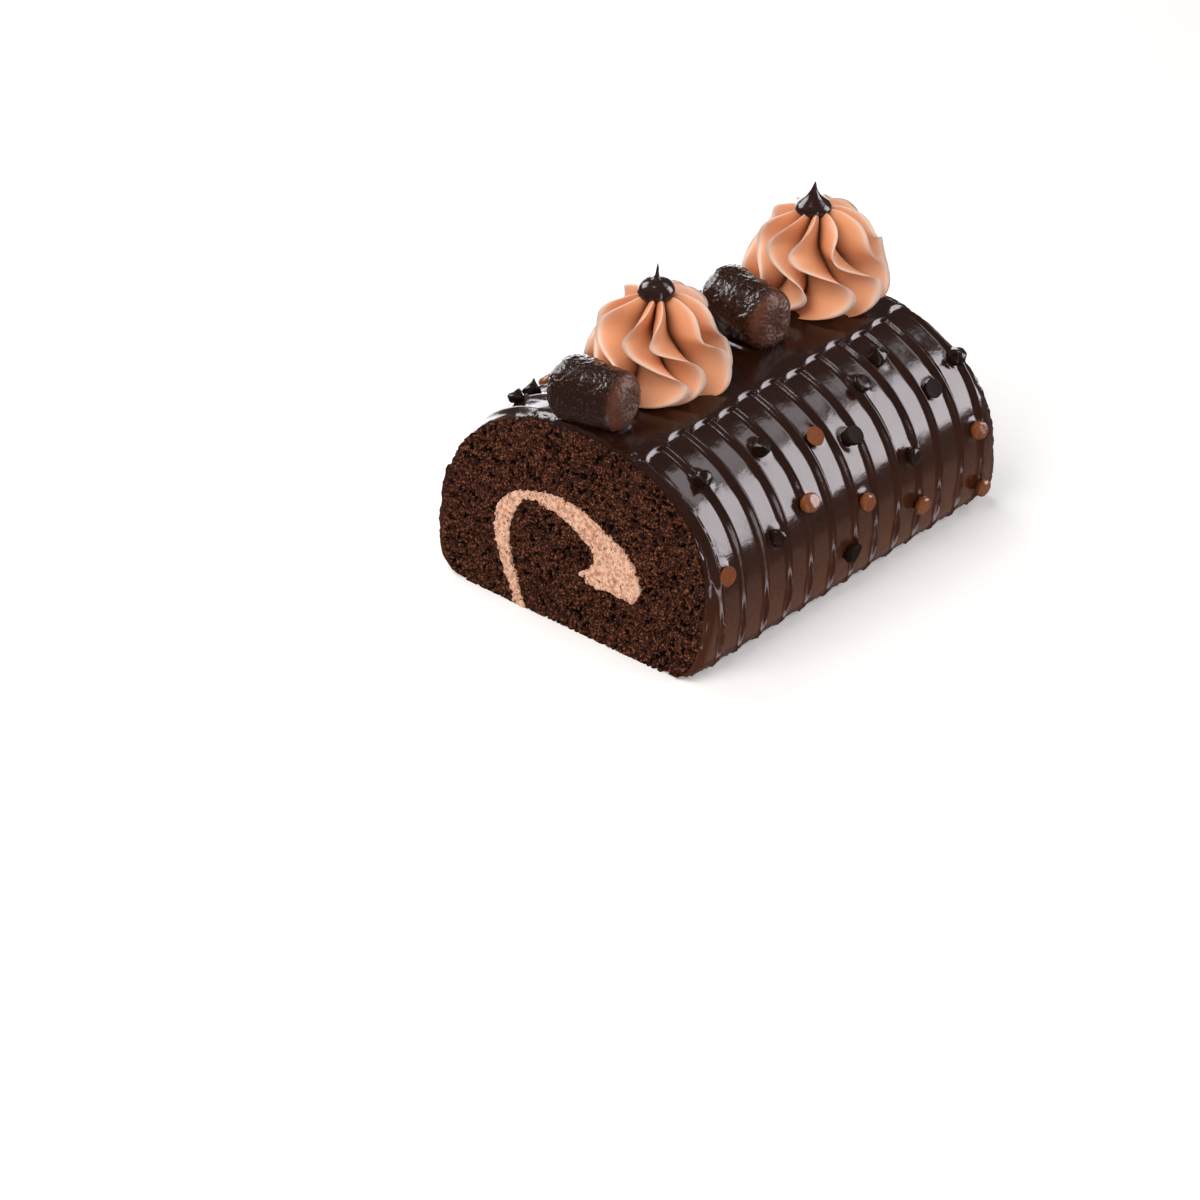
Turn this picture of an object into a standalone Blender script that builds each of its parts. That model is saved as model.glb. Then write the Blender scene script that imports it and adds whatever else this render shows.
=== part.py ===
"""Chocolate swiss roll: a rolled sponge with a hook of cream running through it, a combed ganache coat,
two piped rosettes with chocolate drops, two coated marshmallows and a scatter of chocolate chips.

Metres, +Z up. The roll lies along Y on its flat base, and the origin is at the middle of that base.
"""

import math

import bmesh
import bpy
from mathutils import Vector

MM = 0.001

# The roll's section: a D with a flat base, round flanks and a broad crown.
ROLL_WIDTH = 0.1182
ROLL_HEIGHT = 0.0720
BELLY_HEIGHT = 0.0253
BASE_WIDTH = 0.0920
CROWN_POWER = 2.3
FLANK_POWER = 2.7
GAP = 0.0003

# The two cuts. Each leans inwards towards the crown and runs a little askew.
ROLL_FRONT, ROLL_BACK = -0.0790, 0.0778
FRONT_LEAN, FRONT_SKEW = 0.152, 0.048
BACK_LEAN, BACK_SKEW = -0.124, 0.074

# The ganache and the channels that a comb leaves down both of its sides.
COAT_THICKNESS = 0.0038
COMB_PITCH = 0.01131
COMB_FIRST = -0.0702
COMB_CHANNELS = 14
COMB_DEPTH = 0.0013
CHANNEL_FLOOR = 0.27
CHANNEL_TOP = 0.36
COMB_START = 18.3
COMB_FULL = 21.5

# Rosettes, piped through a star nozzle.
ROSETTE_DIAMETER = 0.0500
ROSETTE_HEIGHT = 0.0300
FINS = 10
FIN_DEPTH = 0.42
ROSETTE_PLACE = {"front": (-0.0082, -0.0248), "rear": (-0.0072, 0.0560)}
ROSETTE_TURN = {"front": 8.0, "rear": 20.0}

DROP_DIAMETER = 0.0130
DROP_BODY = 0.0062
DROP_PEAK = {"front": 0.0060, "rear": 0.0046}
DROP_PLACE = {"front": (-0.0082, -0.0248), "rear": (-0.0082, 0.0552)}

# Marshmallows, laid across the roll and sunk a little into the ganache.
MARSHMALLOW_DIAMETER = 0.0232
MARSHMALLOW_LENGTH = 0.0268
MARSHMALLOW_EDGE = 0.0058
MARSHMALLOW_SINK = 0.0030
MARSHMALLOW_PLACE = {"front": (-0.0022, -0.0622), "rear": (-0.0030, 0.0149)}

# Chips: where along the roll (mm), degrees round from the crown (+ on the +X side), kind and chocolate.
CHIP_DIAMETER = 0.0058
CHIPS = (
    (-54, 38, "peak", "dark"), (-26, 39, "peak", "dark"), (-4, 46, "disc", "milk"),
    (8.5, 54, "disc", "dark"), (26, 38, "knob", "dark"), (41, 32, "peak", "dark"),
    (53, 54, "disc", "dark"), (69.5, 48, "peak", "dark"), (32.5, 74, "knob", "dark"),
    (66.5, 80, "knob", "milk"), (-21, 68, "knob", "milk"), (6.5, 81, "knob", "milk"),
    (36, 96, "knob", "milk"), (71, 118, "knob", "milk"), (-36.5, 74, "peak", "dark"),
    (-1.5, 101, "disc", "dark"), (-63.5, 76, "disc", "milk"), (-57, -43, "peak", "dark"),
    (-51, -41, "peak", "dark"), (-39.5, -45, "knob", "milk"), (-24, -40, "peak", "dark"),
    (34, -40, "peak", "dark"), (43.5, -40, "peak", "dark"), (-62, -80, "disc", "dark"),
    (-30, -70, "knob", "milk"), (-8, -54, "disc", "dark"), (3, -82, "knob", "milk"),
    (14, -46, "peak", "dark"), (22, -97, "knob", "dark"), (31, -68, "disc", "milk"),
    (57, -72, "knob", "dark"), (63, -50, "peak", "dark"), (-44, -100, "knob", "dark"),
    (66, -112, "disc", "milk"),
)

# The cream hook seen along the roll, as (x, z) in mm: up its outer edge, under its blob, down its inner edge.
HOOK_OUTER = (
    (-21.5, 0), (-26.5, 9), (-31.5, 18), (-34, 27), (-32, 34.5), (-26, 40), (-17, 43.5), (-5, 44.5),
    (6, 42.3), (14, 39), (21, 36.2), (26.5, 31.5), (30, 23.5),
)
HOOK_BLOB = ((28, 19.3), (18, 19.6), (8, 19.4), (3.5, 21.3))
HOOK_INNER = (
    (3.5, 21.3), (8, 25), (9.5, 29.8), (5.5, 33.2), (-3, 37.3), (-12, 39.3), (-19.5, 39.6),
    (-24.5, 35.5), (-27, 27), (-25.5, 16.5), (-21.5, 8), (-16.8, 0),
)
HOOK_STEPS = 2

OVERRUN = 0.012


# ---------------------------------------------------------------- helpers

def clear_scene():
    for item in list(bpy.data.objects):
        bpy.data.objects.remove(item)


def linear(channel):
    return channel / 12.92 if channel <= 0.04045 else ((channel + 0.055) / 1.055) ** 2.4


def food_material(name, hex_colour, roughness):
    """A Principled material from an sRGB hex colour."""
    material = bpy.data.materials.new(name)
    material.use_nodes = True
    shader = material.node_tree.nodes["Principled BSDF"]
    channels = [int(hex_colour[i:i + 2], 16) / 255 for i in (0, 2, 4)]
    shader.inputs["Base Color"].default_value = [linear(c) for c in channels] + [1.0]
    shader.inputs["Roughness"].default_value = roughness
    shader.inputs["Metallic"].default_value = 0.0
    return material


def add_object(name, bm, material, smooth_angle=40.0):
    """Closes a bmesh into an object with outward faces, smooth where its faces meet gently."""
    bmesh.ops.recalc_face_normals(bm, faces=bm.faces)
    if bm.calc_volume(signed=True) < 0:
        bmesh.ops.reverse_faces(bm, faces=bm.faces)
    mesh = bpy.data.meshes.new(name)
    bm.to_mesh(mesh)
    bm.free()
    mesh.shade_smooth()
    mesh.set_sharp_from_angle(angle=math.radians(smooth_angle))
    mesh.materials.append(material)
    item = bpy.data.objects.new(name, mesh)
    bpy.context.scene.collection.objects.link(item)
    return item


def blend(a, b, t):
    return a + (b - a) * t


def ease(t):
    t = min(max(t, 0.0), 1.0)
    return t * t * (3 - 2 * t)


def along(stations, t):
    """Reads a value off a short list of (place, value) stations, easing between them."""
    for (t0, v0), (t1, v1) in zip(stations, stations[1:]):
        if t <= t1:
            return blend(v0, v1, ease((t - t0) / (t1 - t0)))
    return stations[-1][1]


def smooth_path(points, steps):
    """Catmull-Rom points through the given ones, ends included."""
    path = []
    last = len(points) - 1
    for i in range(last):
        before, start, end, after = (
            Vector(points[max(i - 1, 0)]), Vector(points[i]), Vector(points[i + 1]),
            Vector(points[min(i + 2, last)]),
        )
        for k in range(steps):
            t = k / steps
            path.append(0.5 * (
                2 * start + (end - before) * t
                + (2 * before - 5 * start + 4 * end - after) * t ** 2
                + (3 * start - before - 3 * end + after) * t ** 3
            ))
    path.append(Vector(points[last]))
    return path


# ---------------------------------------------------------------- the roll's surface

def section_point(angle, inset=0.0):
    """(x, z) on the roll's section, `angle` degrees round from the crown, `inset` metres in from the skin."""
    side = -1 if angle < 0 else 1
    turn = math.radians(abs(angle))
    half_width = ROLL_WIDTH / 2 - inset
    half_base = BASE_WIDTH / 2 - inset
    if abs(angle) <= 90:
        x = half_width * math.sin(turn) ** (2 / CROWN_POWER)
        rise = ROLL_HEIGHT - inset - BELLY_HEIGHT
        z = BELLY_HEIGHT + rise * max(math.cos(turn), 0.0) ** (2 / CROWN_POWER)
    else:
        turn -= math.pi / 2
        x = half_base + (half_width - half_base) * max(math.cos(turn), 0.0) ** (2 / FLANK_POWER)
        z = BELLY_HEIGHT * (1 - math.sin(turn) ** (2 / FLANK_POWER))
    return side * x, z


def crown_height(x):
    """Height of the smooth top of the coat at x."""
    reach = min(abs(x) / (ROLL_WIDTH / 2), 1.0)
    rise = (1 - reach ** CROWN_POWER) ** (1 / CROWN_POWER)
    return BELLY_HEIGHT + (ROLL_HEIGHT - BELLY_HEIGHT) * rise


def channel_share(y):
    """1 on a comb channel's floor, 0 on the ridges between channels, by the place along the roll."""
    steps = (y - COMB_FIRST) / COMB_PITCH
    nearest = min(max(round(steps), 0), COMB_CHANNELS - 1)
    away = abs(steps - nearest)
    return 1 - min(max((away - CHANNEL_FLOOR) / (CHANNEL_TOP - CHANNEL_FLOOR), 0.0), 1.0)


def comb_depth(angle, y):
    reach = ease((abs(angle) - COMB_START) / (COMB_FULL - COMB_START))
    return COMB_DEPTH * reach * channel_share(y)


def trim_ends(bm):
    """Cuts both ends with their leaning planes and closes the cuts."""
    cuts = (
        (ROLL_FRONT, FRONT_SKEW, FRONT_LEAN, -1),
        (ROLL_BACK, BACK_SKEW, BACK_LEAN, 1),
    )
    for y, skew, lean, outward in cuts:
        normal = Vector((-skew, 1, -lean)).normalized() * outward
        parts = bm.verts[:] + bm.edges[:] + bm.faces[:]
        cut = bmesh.ops.bisect_plane(
            bm, geom=parts, dist=1e-7, plane_co=(0, y, 0), plane_no=normal, clear_outer=True
        )
        rim = [e for e in cut["geom_cut"] if isinstance(e, bmesh.types.BMEdge)]
        bmesh.ops.contextual_create(bm, geom=rim)


# ---------------------------------------------------------------- sponge, cream and coat

def hook_outline(offset):
    """The cream's outline in metres, moved `offset` metres off its true edge, with both feet on the base."""
    edge = smooth_path(HOOK_OUTER, HOOK_STEPS)
    edge += [Vector(p) for p in HOOK_BLOB[:-1]]
    edge += smooth_path(HOOK_INNER, HOOK_STEPS)
    edge = [p * MM for p in edge]
    moved = []
    for i, point in enumerate(edge):
        before = edge[max(i - 1, 0)]
        after = edge[min(i + 1, len(edge) - 1)]
        tangent = (after - before).normalized()
        away = Vector((-tangent.y, tangent.x)) * offset
        if i in (0, len(edge) - 1):
            away = Vector((math.copysign(offset, away.x), 0))
        moved.append(point + away)
    return moved


def extruded(outline):
    """A prism of a closed (x, z) outline, longer than the roll."""
    bm = bmesh.new()
    start, end = ROLL_FRONT - OVERRUN, ROLL_BACK + OVERRUN
    ring = [bm.verts.new((x, start, z)) for x, z in outline]
    face = bm.faces.new(ring)
    grown = bmesh.ops.extrude_face_region(bm, geom=[face])
    moved = [v for v in grown["geom"] if isinstance(v, bmesh.types.BMVert)]
    bmesh.ops.translate(bm, verts=moved, vec=(0, end - start, 0))
    return bm


def section_angles():
    """Angles round half the section, close together where the comb starts and where the flank turns under."""
    crown = [0, 6, 12, COMB_START, COMB_FULL, 28, 36, 44, 52, 60, 68, 76, 84, 90]
    flank = [100, 112, 126, 142, 160, 180]
    return crown + flank


def full_section():
    half = section_angles()
    return [-a for a in reversed(half[1:])] + half


def make_sponge(material):
    skin = COAT_THICKNESS + GAP
    outline = [Vector(section_point(a, skin)) for a in full_section()]
    outline += reversed(hook_outline(GAP / 2))
    bm = extruded(outline)
    trim_ends(bm)
    return add_object("sponge", bm, material, 30)


def make_cream(material):
    bm = extruded(hook_outline(-GAP / 2))
    trim_ends(bm)
    return add_object("cream_filling", bm, material, 30)


def comb_rows():
    """Places along the roll where the coat's surface bends: each channel's floor edges and its top edges."""
    rows = [ROLL_FRONT - OVERRUN]
    for k in range(COMB_CHANNELS):
        centre = COMB_FIRST + k * COMB_PITCH
        rows += [centre + s * COMB_PITCH for s in (-CHANNEL_TOP, -CHANNEL_FLOOR, CHANNEL_FLOOR, CHANNEL_TOP)]
    rows.append(ROLL_BACK + OVERRUN)
    return rows


def make_coat(material):
    """A C-shaped shell: combed outside, plain inside, open along its base."""
    bm = bmesh.new()
    rows = comb_rows()
    angles = full_section()
    outside = []
    for y in rows:
        points = [section_point(a, comb_depth(a, y)) for a in angles]
        outside.append([bm.verts.new((x, y, z)) for x, z in points])
    inner = [section_point(a, COAT_THICKNESS) for a in angles]
    inside = [[bm.verts.new((x, y, z)) for x, z in inner] for y in (rows[0], rows[-1])]
    last = len(angles) - 1
    for near, far in zip(outside, outside[1:]):
        for i in range(last):
            bm.faces.new((near[i], near[i + 1], far[i + 1], far[i]))
    for i in range(last):
        bm.faces.new((inside[0][i], inside[1][i], inside[1][i + 1], inside[0][i + 1]))
    for edge in (0, last):
        rim = [row[edge] for row in outside]
        bm.faces.new(rim + [inside[1][edge], inside[0][edge]])
    for row, ring in zip((outside[0], outside[-1]), inside):
        bm.faces.new(row + ring[::-1])
    bmesh.ops.recalc_face_normals(bm, faces=bm.faces)
    trim_ends(bm)
    return add_object("ganache_coat", bm, material, 25)


# ---------------------------------------------------------------- toppings

def turned(segments, rings, place):
    """A closed round body: a sphere's points moved to place(angle, share), from share 0, its foot, to 1."""
    bm = bmesh.new()
    bmesh.ops.create_uvsphere(bm, u_segments=segments, v_segments=rings, radius=1.0)
    for vert in bm.verts:
        share = 1 - math.acos(min(max(vert.co.z, -1.0), 1.0)) / math.pi
        angle = math.atan2(vert.co.y, vert.co.x)
        vert.co = place(angle, share)
    return bm


# A rosette's meridian, from the middle of its underside over its rim to its top: how far out and how high it
# is by the share of the way, as shares of its radius and height, and how far the fins are swept, in fins.
ROSETTE_RIM = 0.3
ROSETTE_RADIUS = (
    (0, 0), (0.18, 0.62), (ROSETTE_RIM, 0.9), (0.42, 1), (0.55, 0.93), (0.7, 0.74), (0.85, 0.46),
    (0.94, 0.24), (1, 0),
)
ROSETTE_RISE = ((0, 0), (0.28, 0), (0.42, 0.2), (0.55, 0.42), (0.7, 0.7), (0.85, 0.93), (1, 1))
FIN_SWEEP = ((0, 0), (0.28, 0), (0.42, 0.55), (0.6, 0), (1, -0.25))

# A drop's meridian in the same way: radius, height of its body, and height of its peak.
DROP_RADIUS = ((0, 0), (0.2, 0.8), (0.35, 1), (0.6, 0.72), (0.75, 0.3), (0.88, 0.1), (1, 0))
DROP_RISE = ((0, 0), (0.12, 0), (0.35, 0.3), (0.75, 1), (1, 1))
DROP_TIP = ((0, 0), (0.6, 0), (1, 1))


def make_rosette(where, material):
    """Fins round a dome. They sweep sideways where the cream first spread on the roll."""
    radius = ROSETTE_DIAMETER / 2
    x0, y0 = ROSETTE_PLACE[where]
    pitch = math.tau / FINS
    turn = math.radians(ROSETTE_TURN[where])

    def place(angle, share):
        fin = (angle / pitch) % 1
        groove = 1 - abs(2 * fin - 1)
        depth = FIN_DEPTH * ease(share / ROSETTE_RIM) * groove
        r = radius * along(ROSETTE_RADIUS, share) * (1 - depth)
        swept = angle + turn + pitch * along(FIN_SWEEP, share)
        x = x0 + r * math.cos(swept)
        y = y0 + r * math.sin(swept)
        rise = along(ROSETTE_RISE, share)
        foot = blend(crown_height(x), ROLL_HEIGHT, rise) + GAP
        return x, y, foot + ROSETTE_HEIGHT * rise

    bm = turned(FINS * 4, 12, place)
    return add_object("rosette_" + where, bm, material, 50)


def make_drop(where, material):
    """A chocolate drop set in the top of a rosette, drawn up to a peak."""
    radius = DROP_DIAMETER / 2
    x0, y0 = DROP_PLACE[where]
    foot = ROLL_HEIGHT + ROSETTE_HEIGHT + 2 * GAP
    peak = DROP_PEAK[where]

    def place(angle, share):
        r = radius * along(DROP_RADIUS, share)
        rise = DROP_BODY * along(DROP_RISE, share) + peak * along(DROP_TIP, share)
        return x0 + r * math.cos(angle), y0 + r * math.sin(angle), foot + rise

    bm = turned(10, 9, place)
    return add_object("drop_" + where, bm, material, 60)


def make_marshmallow(where, material):
    """A round-edged cylinder across the roll, its underside pressed to the crown of the coat."""
    x0, y0 = MARSHMALLOW_PLACE[where]
    radius = MARSHMALLOW_DIAMETER / 2
    middle = crown_height(x0) + radius - MARSHMALLOW_SINK
    flat_radius = radius - MARSHMALLOW_EDGE
    flat_length = MARSHMALLOW_LENGTH / 2 - MARSHMALLOW_EDGE
    end_from = 0.75
    side_to = 0.2

    def place(angle, share):
        out = abs(2 * share - 1)
        side = 1 if share > 0.5 else -1
        if out > end_from:
            r, reach = flat_radius * (1 - out) / (1 - end_from), MARSHMALLOW_LENGTH / 2
        elif out > side_to:
            bend = (end_from - out) / (end_from - side_to) * math.pi / 2
            r = flat_radius + MARSHMALLOW_EDGE * math.sin(bend)
            reach = flat_length + MARSHMALLOW_EDGE * math.cos(bend)
        else:
            r, reach = radius, flat_length * out / side_to
        x = x0 + side * reach
        y = y0 + r * math.sin(angle)
        z = middle + r * math.cos(angle)
        return x, y, z

    bm = turned(16, 14, place)
    seat_on_coat(bm)
    return add_object("marshmallow_" + where, bm, material, 50)


def seat_on_coat(bm):
    """Flattens what would lie inside the coat onto its crown."""
    for vert in bm.verts:
        vert.co.z = max(vert.co.z, crown_height(vert.co.x) + GAP)


# A chip's outline by kind: (share of its radius, height in mm) from its seat outwards.
CHIP_OUTLINES = {
    "peak": ((0.86, 0.0), (1.0, 0.9), (0.62, 2.6), (0.22, 4.4)),
    "disc": ((0.66, 0.0), (0.94, 0.9), (1.0, 1.5), (0.9, 1.8)),
    "knob": ((0.8, 0.0), (1.0, 1.0), (0.92, 2.0), (0.56, 2.9)),
}
CHIP_SIDES = 7


def chip_seat(y, angle):
    """A chip's centre on the coat, and the way that it faces."""
    radius = CHIP_DIAMETER / 2
    step = 2.0
    depth = min(
        comb_depth(a, y + s)
        for s in (-radius, -radius / 2, 0, radius / 2, radius)
        for a in (angle - 3, angle, angle + 3)
    )
    x, z = section_point(angle, depth)
    x0, z0 = section_point(angle - step)
    x1, z1 = section_point(angle + step)
    normal = Vector((z0 - z1, 0, x1 - x0)).normalized()
    return Vector((x, y, z)) + normal * GAP, normal


def make_chip(index, spot, material):
    y_mm, angle, kind = spot[:3]
    centre, normal = chip_seat(y_mm * MM, angle)
    bm = bmesh.new()
    outline = CHIP_OUTLINES[kind]
    bmesh.ops.create_circle(bm, segments=CHIP_SIDES, radius=CHIP_DIAMETER / 2 * outline[0][0])
    ring = bm.edges[:]
    for (before, low), (share, high) in zip(outline, outline[1:]):
        grown = bmesh.ops.extrude_edge_only(bm, edges=ring)["geom"]
        ring = [e for e in grown if isinstance(e, bmesh.types.BMEdge)]
        raised = [v for v in grown if isinstance(v, bmesh.types.BMVert)]
        bmesh.ops.translate(bm, verts=raised, vec=(0, 0, (high - low) * MM))
        bmesh.ops.scale(bm, verts=raised, vec=(share / before, share / before, 1))
    bmesh.ops.holes_fill(bm, edges=bm.edges, sides=CHIP_SIDES)
    bmesh.ops.rotate(bm, verts=bm.verts, matrix=normal.to_track_quat("Z", "Y").to_matrix())
    bmesh.ops.translate(bm, verts=bm.verts, vec=centre)
    return add_object("chip_%02d" % index, bm, material, 50)


# ---------------------------------------------------------------- the cake

def main():
    clear_scene()
    sponge = food_material("chocolate_sponge", "4a2c20", 0.9)
    cream = food_material("chocolate_cream", "dba98d", 0.55)
    ganache = food_material("ganache", "2f1a12", 0.15)
    buttercream = food_material("buttercream", "d99a78", 0.5)
    couverture = food_material("couverture", "241510", 0.12)
    coated = food_material("coated_marshmallow", "46302a", 0.35)
    chocolate = {
        "milk": food_material("milk_chocolate", "6a3b26", 0.35),
        "dark": food_material("dark_chocolate", "21140f", 0.35),
    }

    make_sponge(sponge)
    make_cream(cream)
    make_coat(ganache)
    for where in ("front", "rear"):
        make_rosette(where, buttercream)
        make_drop(where, couverture)
        make_marshmallow(where, coated)
    for index, spot in enumerate(CHIPS, 1):
        make_chip(index, spot, chocolate[spot[3]])


main()
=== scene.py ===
"""Chocolate swiss roll: cut cocoa sponge with a hook of cream, a combed and poured ganache coat, piped
buttercream rosettes with chocolate drops, glazed marshmallows, chocolate chips and loose crumbs.

Metres, +Z up. The roll lies along Y, its front cut at -Y, and its combed side shows at +X.
"""

import math
import random

import bmesh
import bpy
import numpy as np
from mathutils import Matrix, Vector, noise


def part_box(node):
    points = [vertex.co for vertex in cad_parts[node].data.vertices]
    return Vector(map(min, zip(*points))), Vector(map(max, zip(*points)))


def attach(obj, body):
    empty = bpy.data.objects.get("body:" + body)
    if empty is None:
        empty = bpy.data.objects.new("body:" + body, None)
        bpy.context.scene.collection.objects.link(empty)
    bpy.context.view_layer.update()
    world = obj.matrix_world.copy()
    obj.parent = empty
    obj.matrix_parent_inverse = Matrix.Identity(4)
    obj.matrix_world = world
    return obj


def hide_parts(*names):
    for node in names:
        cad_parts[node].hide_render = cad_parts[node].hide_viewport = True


bl_info = {
    "name": "Chocolate swiss roll",
    "version": (1, 0, 0),
    "blender": (4, 5, 0),
    "location": "3D View > Sidebar > Swiss roll",
    "description": "Builds a ganache-coated chocolate swiss roll with its toppings and a stage",
    "category": "Add Mesh",
}

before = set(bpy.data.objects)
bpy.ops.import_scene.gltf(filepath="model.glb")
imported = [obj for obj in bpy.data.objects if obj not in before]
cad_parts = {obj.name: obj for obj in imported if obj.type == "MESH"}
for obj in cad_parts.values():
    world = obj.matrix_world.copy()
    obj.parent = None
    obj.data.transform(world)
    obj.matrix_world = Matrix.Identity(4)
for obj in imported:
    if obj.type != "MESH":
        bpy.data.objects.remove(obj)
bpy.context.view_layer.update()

MM = 0.001

# The roll's section, read off the coat: a D with a flat base, round flanks and a broad crown.
COAT_LOW, COAT_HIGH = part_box("ganache_coat")
ROLL_WIDTH = COAT_HIGH.x - COAT_LOW.x
ROLL_HEIGHT = COAT_HIGH.z
BELLY_HEIGHT = 0.0253
BASE_WIDTH = 0.0920
CROWN_POWER = 2.3
FLANK_POWER = 2.7

# The two cuts. Each leans inwards towards the crown and runs a little askew.
ROLL_FRONT, ROLL_BACK = -0.0790, 0.0778
FRONT_LEAN, FRONT_SKEW = 0.152, 0.048
BACK_LEAN, BACK_SKEW = -0.124, 0.074

# The channels that a comb leaves down both sides of the ganache.
COMB_PITCH = 0.01131
COMB_FIRST = -0.0702
COMB_CHANNELS = 14
COMB_START = 18.3

FINS = 10
SIDES = ("front", "rear")

# Chips: where along the roll (mm), degrees round from the crown (+ on the +X side), kind and chocolate.
CHIPS = (
    (-54, 38, "peak", "dark"), (-26, 39, "peak", "dark"), (-4, 46, "disc", "milk"),
    (8.5, 54, "disc", "dark"), (26, 38, "knob", "dark"), (41, 32, "peak", "dark"),
    (53, 54, "disc", "dark"), (69.5, 48, "peak", "dark"), (32.5, 74, "knob", "dark"),
    (66.5, 80, "knob", "milk"), (-21, 68, "knob", "milk"), (6.5, 81, "knob", "milk"),
    (36, 96, "knob", "milk"), (71, 118, "knob", "milk"), (-36.5, 74, "peak", "dark"),
    (-1.5, 101, "disc", "dark"), (-63.5, 76, "disc", "milk"), (-57, -43, "peak", "dark"),
    (-51, -41, "peak", "dark"), (-39.5, -45, "knob", "milk"), (-24, -40, "peak", "dark"),
    (34, -40, "peak", "dark"), (43.5, -40, "peak", "dark"), (-62, -80, "disc", "dark"),
    (-30, -70, "knob", "milk"), (-8, -54, "disc", "dark"), (3, -82, "knob", "milk"),
    (14, -46, "peak", "dark"), (22, -97, "knob", "dark"), (31, -68, "disc", "milk"),
    (57, -72, "knob", "dark"), (63, -50, "peak", "dark"), (-44, -100, "knob", "dark"),
    (66, -112, "disc", "milk"),
)

# The cream hook seen along the roll, as (x, z) in mm: up its outer edge, under its blob, down its inner edge.
HOOK_OUTER = (
    (-21.5, 0), (-26.5, 9), (-31.5, 18), (-34, 27), (-32, 34.5), (-26, 40), (-17, 43.5), (-5, 44.5),
    (6, 42.3), (14, 39), (21, 36.2), (26.5, 31.5), (30, 23.5),
)
HOOK_BLOB = ((28, 19.3), (18, 19.6), (8, 19.4), (3.5, 21.3))
HOOK_INNER = (
    (3.5, 21.3), (8, 25), (9.5, 29.8), (5.5, 33.2), (-3, 37.3), (-12, 39.3), (-19.5, 39.6),
    (-24.5, 35.5), (-27, 27), (-25.5, 16.5), (-21.5, 8), (-16.8, 0),
)


# ---------------------------------------------------------------- settings a user would change

def linear(code):
    """An sRGB hex colour as linear RGBA."""
    channels = [int(code[i:i + 2], 16) / 255 for i in (0, 2, 4)]
    curve = [c / 12.92 if c <= 0.04045 else ((c + 0.055) / 1.055) ** 2.4 for c in channels]
    return (*curve, 1.0)


def length_setting(name, description, default):
    return bpy.props.FloatProperty(
        name=name, description=description, default=default, min=0.0, precision=5,
        subtype="DISTANCE", unit="LENGTH",
    )


def colour_setting(name, description, code):
    return bpy.props.FloatVectorProperty(
        name=name, description=description, default=linear(code), size=4, min=0.0, max=1.0,
        subtype="COLOR",
    )


class SwissRollSizes(bpy.types.PropertyGroup):
    coat: length_setting("Coat", "Thickness of the ganache", 0.0038)
    comb_depth: length_setting("Comb depth", "Depth of a comb channel", 0.0013)
    crumb_cell: length_setting("Crumb cell", "Fineness of the cut sponge's mesh", 0.00042)
    pore_depth: length_setting("Pore depth", "Depth of the open pores on a cut", 0.0014)
    crumb: length_setting("Crumb", "Usual radius of a loose crumb", 0.00034)
    chip: length_setting("Chip", "Diameter of a chocolate chip", 0.0068)
    pebble: length_setting("Pebble", "Width of a pebble on a glazed marshmallow", 0.0011)


class SwissRollColours(bpy.types.PropertyGroup):
    sponge: colour_setting("Sponge", "Crumb of the cocoa sponge", "412217")
    # Painted shade: a near-black that stands for the shade down in the sponge's pores.
    pores: colour_setting("Pores", "Depth of the sponge's pores", "0d0705")
    # Painted highlight: this colour lightens the tufts on the cuts; the loose crumbs also take it as their
    # own brown.
    crumbs: colour_setting("Crumbs", "Lit edges and loose crumbs", "b06d48")
    cream: colour_setting("Cream", "Cut chocolate cream", "f3c5a8")
    ganache: colour_setting("Ganache", "Poured ganache", "23110a")
    buttercream: colour_setting("Buttercream", "Piped buttercream", "efa577")
    # Painted highlight: this pale colour lightens the thin edge of each fin of the piping.
    crest_highlights: colour_setting("Crests", "Thin crests of the piping", "ffe2cf")
    # Painted shade: this dark brown darkens the piping down in each groove.
    groove_shade: colour_setting("Grooves", "Deep grooves of the piping", "5a2c18")
    couverture: colour_setting("Couverture", "The drops on the rosettes", "22130f")
    glaze: colour_setting("Glaze", "Glaze on the marshmallows", "26130c")
    glaze_end: colour_setting("Glaze end", "Rubbed end of a marshmallow", "5a3220")
    milk: colour_setting("Milk", "Milk chocolate chips", "6a3a1e")
    dark: colour_setting("Dark", "Dark chocolate chips", "190d08")
    floor: colour_setting("Floor", "The pale floor", "f4f2f1")


# ---------------------------------------------------------------- small helpers

def ease(t):
    t = np.clip(t, 0.0, 1.0)
    return t * t * (3 - 2 * t)


def bump(distance, width):
    """1 at distance 0, falling to nearly nothing at twice the width."""
    return np.exp(-(distance / width) ** 2)


def along(stations, share):
    """Reads a value off a short list of (place, value) stations, on a smooth curve through them."""
    place, value = np.array(stations, float).T
    slope = np.gradient(value, place)
    i = np.clip(np.searchsorted(place, share) - 1, 0, len(place) - 2)
    run = place[i + 1] - place[i]
    t = (share - place[i]) / run
    start = (1 + 2 * t) * (1 - t) ** 2 * value[i] + t * (1 - t) ** 2 * run * slope[i]
    end = t * t * (3 - 2 * t) * value[i + 1] + t * t * (t - 1) * run * slope[i + 1]
    return start + end


def grain(points, size, seed=0.0):
    """Smooth noise between about -1 and 1 at each point, with lumps of about that size."""
    scaled = points / size + seed
    return np.array([noise.noise(p) for p in scaled.tolist()])


def places(bm):
    return np.array([v.co[:] for v in bm.verts])


def move_to(bm, x, y, z):
    for vert, point in zip(bm.verts, np.column_stack((x, y, z)).tolist()):
        vert.co = point


def add_values(bm, name, values):
    """Keeps a value with each point, for a material to read."""
    layer = bm.verts.layers.float.new(name)
    for vert, value in zip(bm.verts, values.tolist()):
        vert[layer] = value


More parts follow.
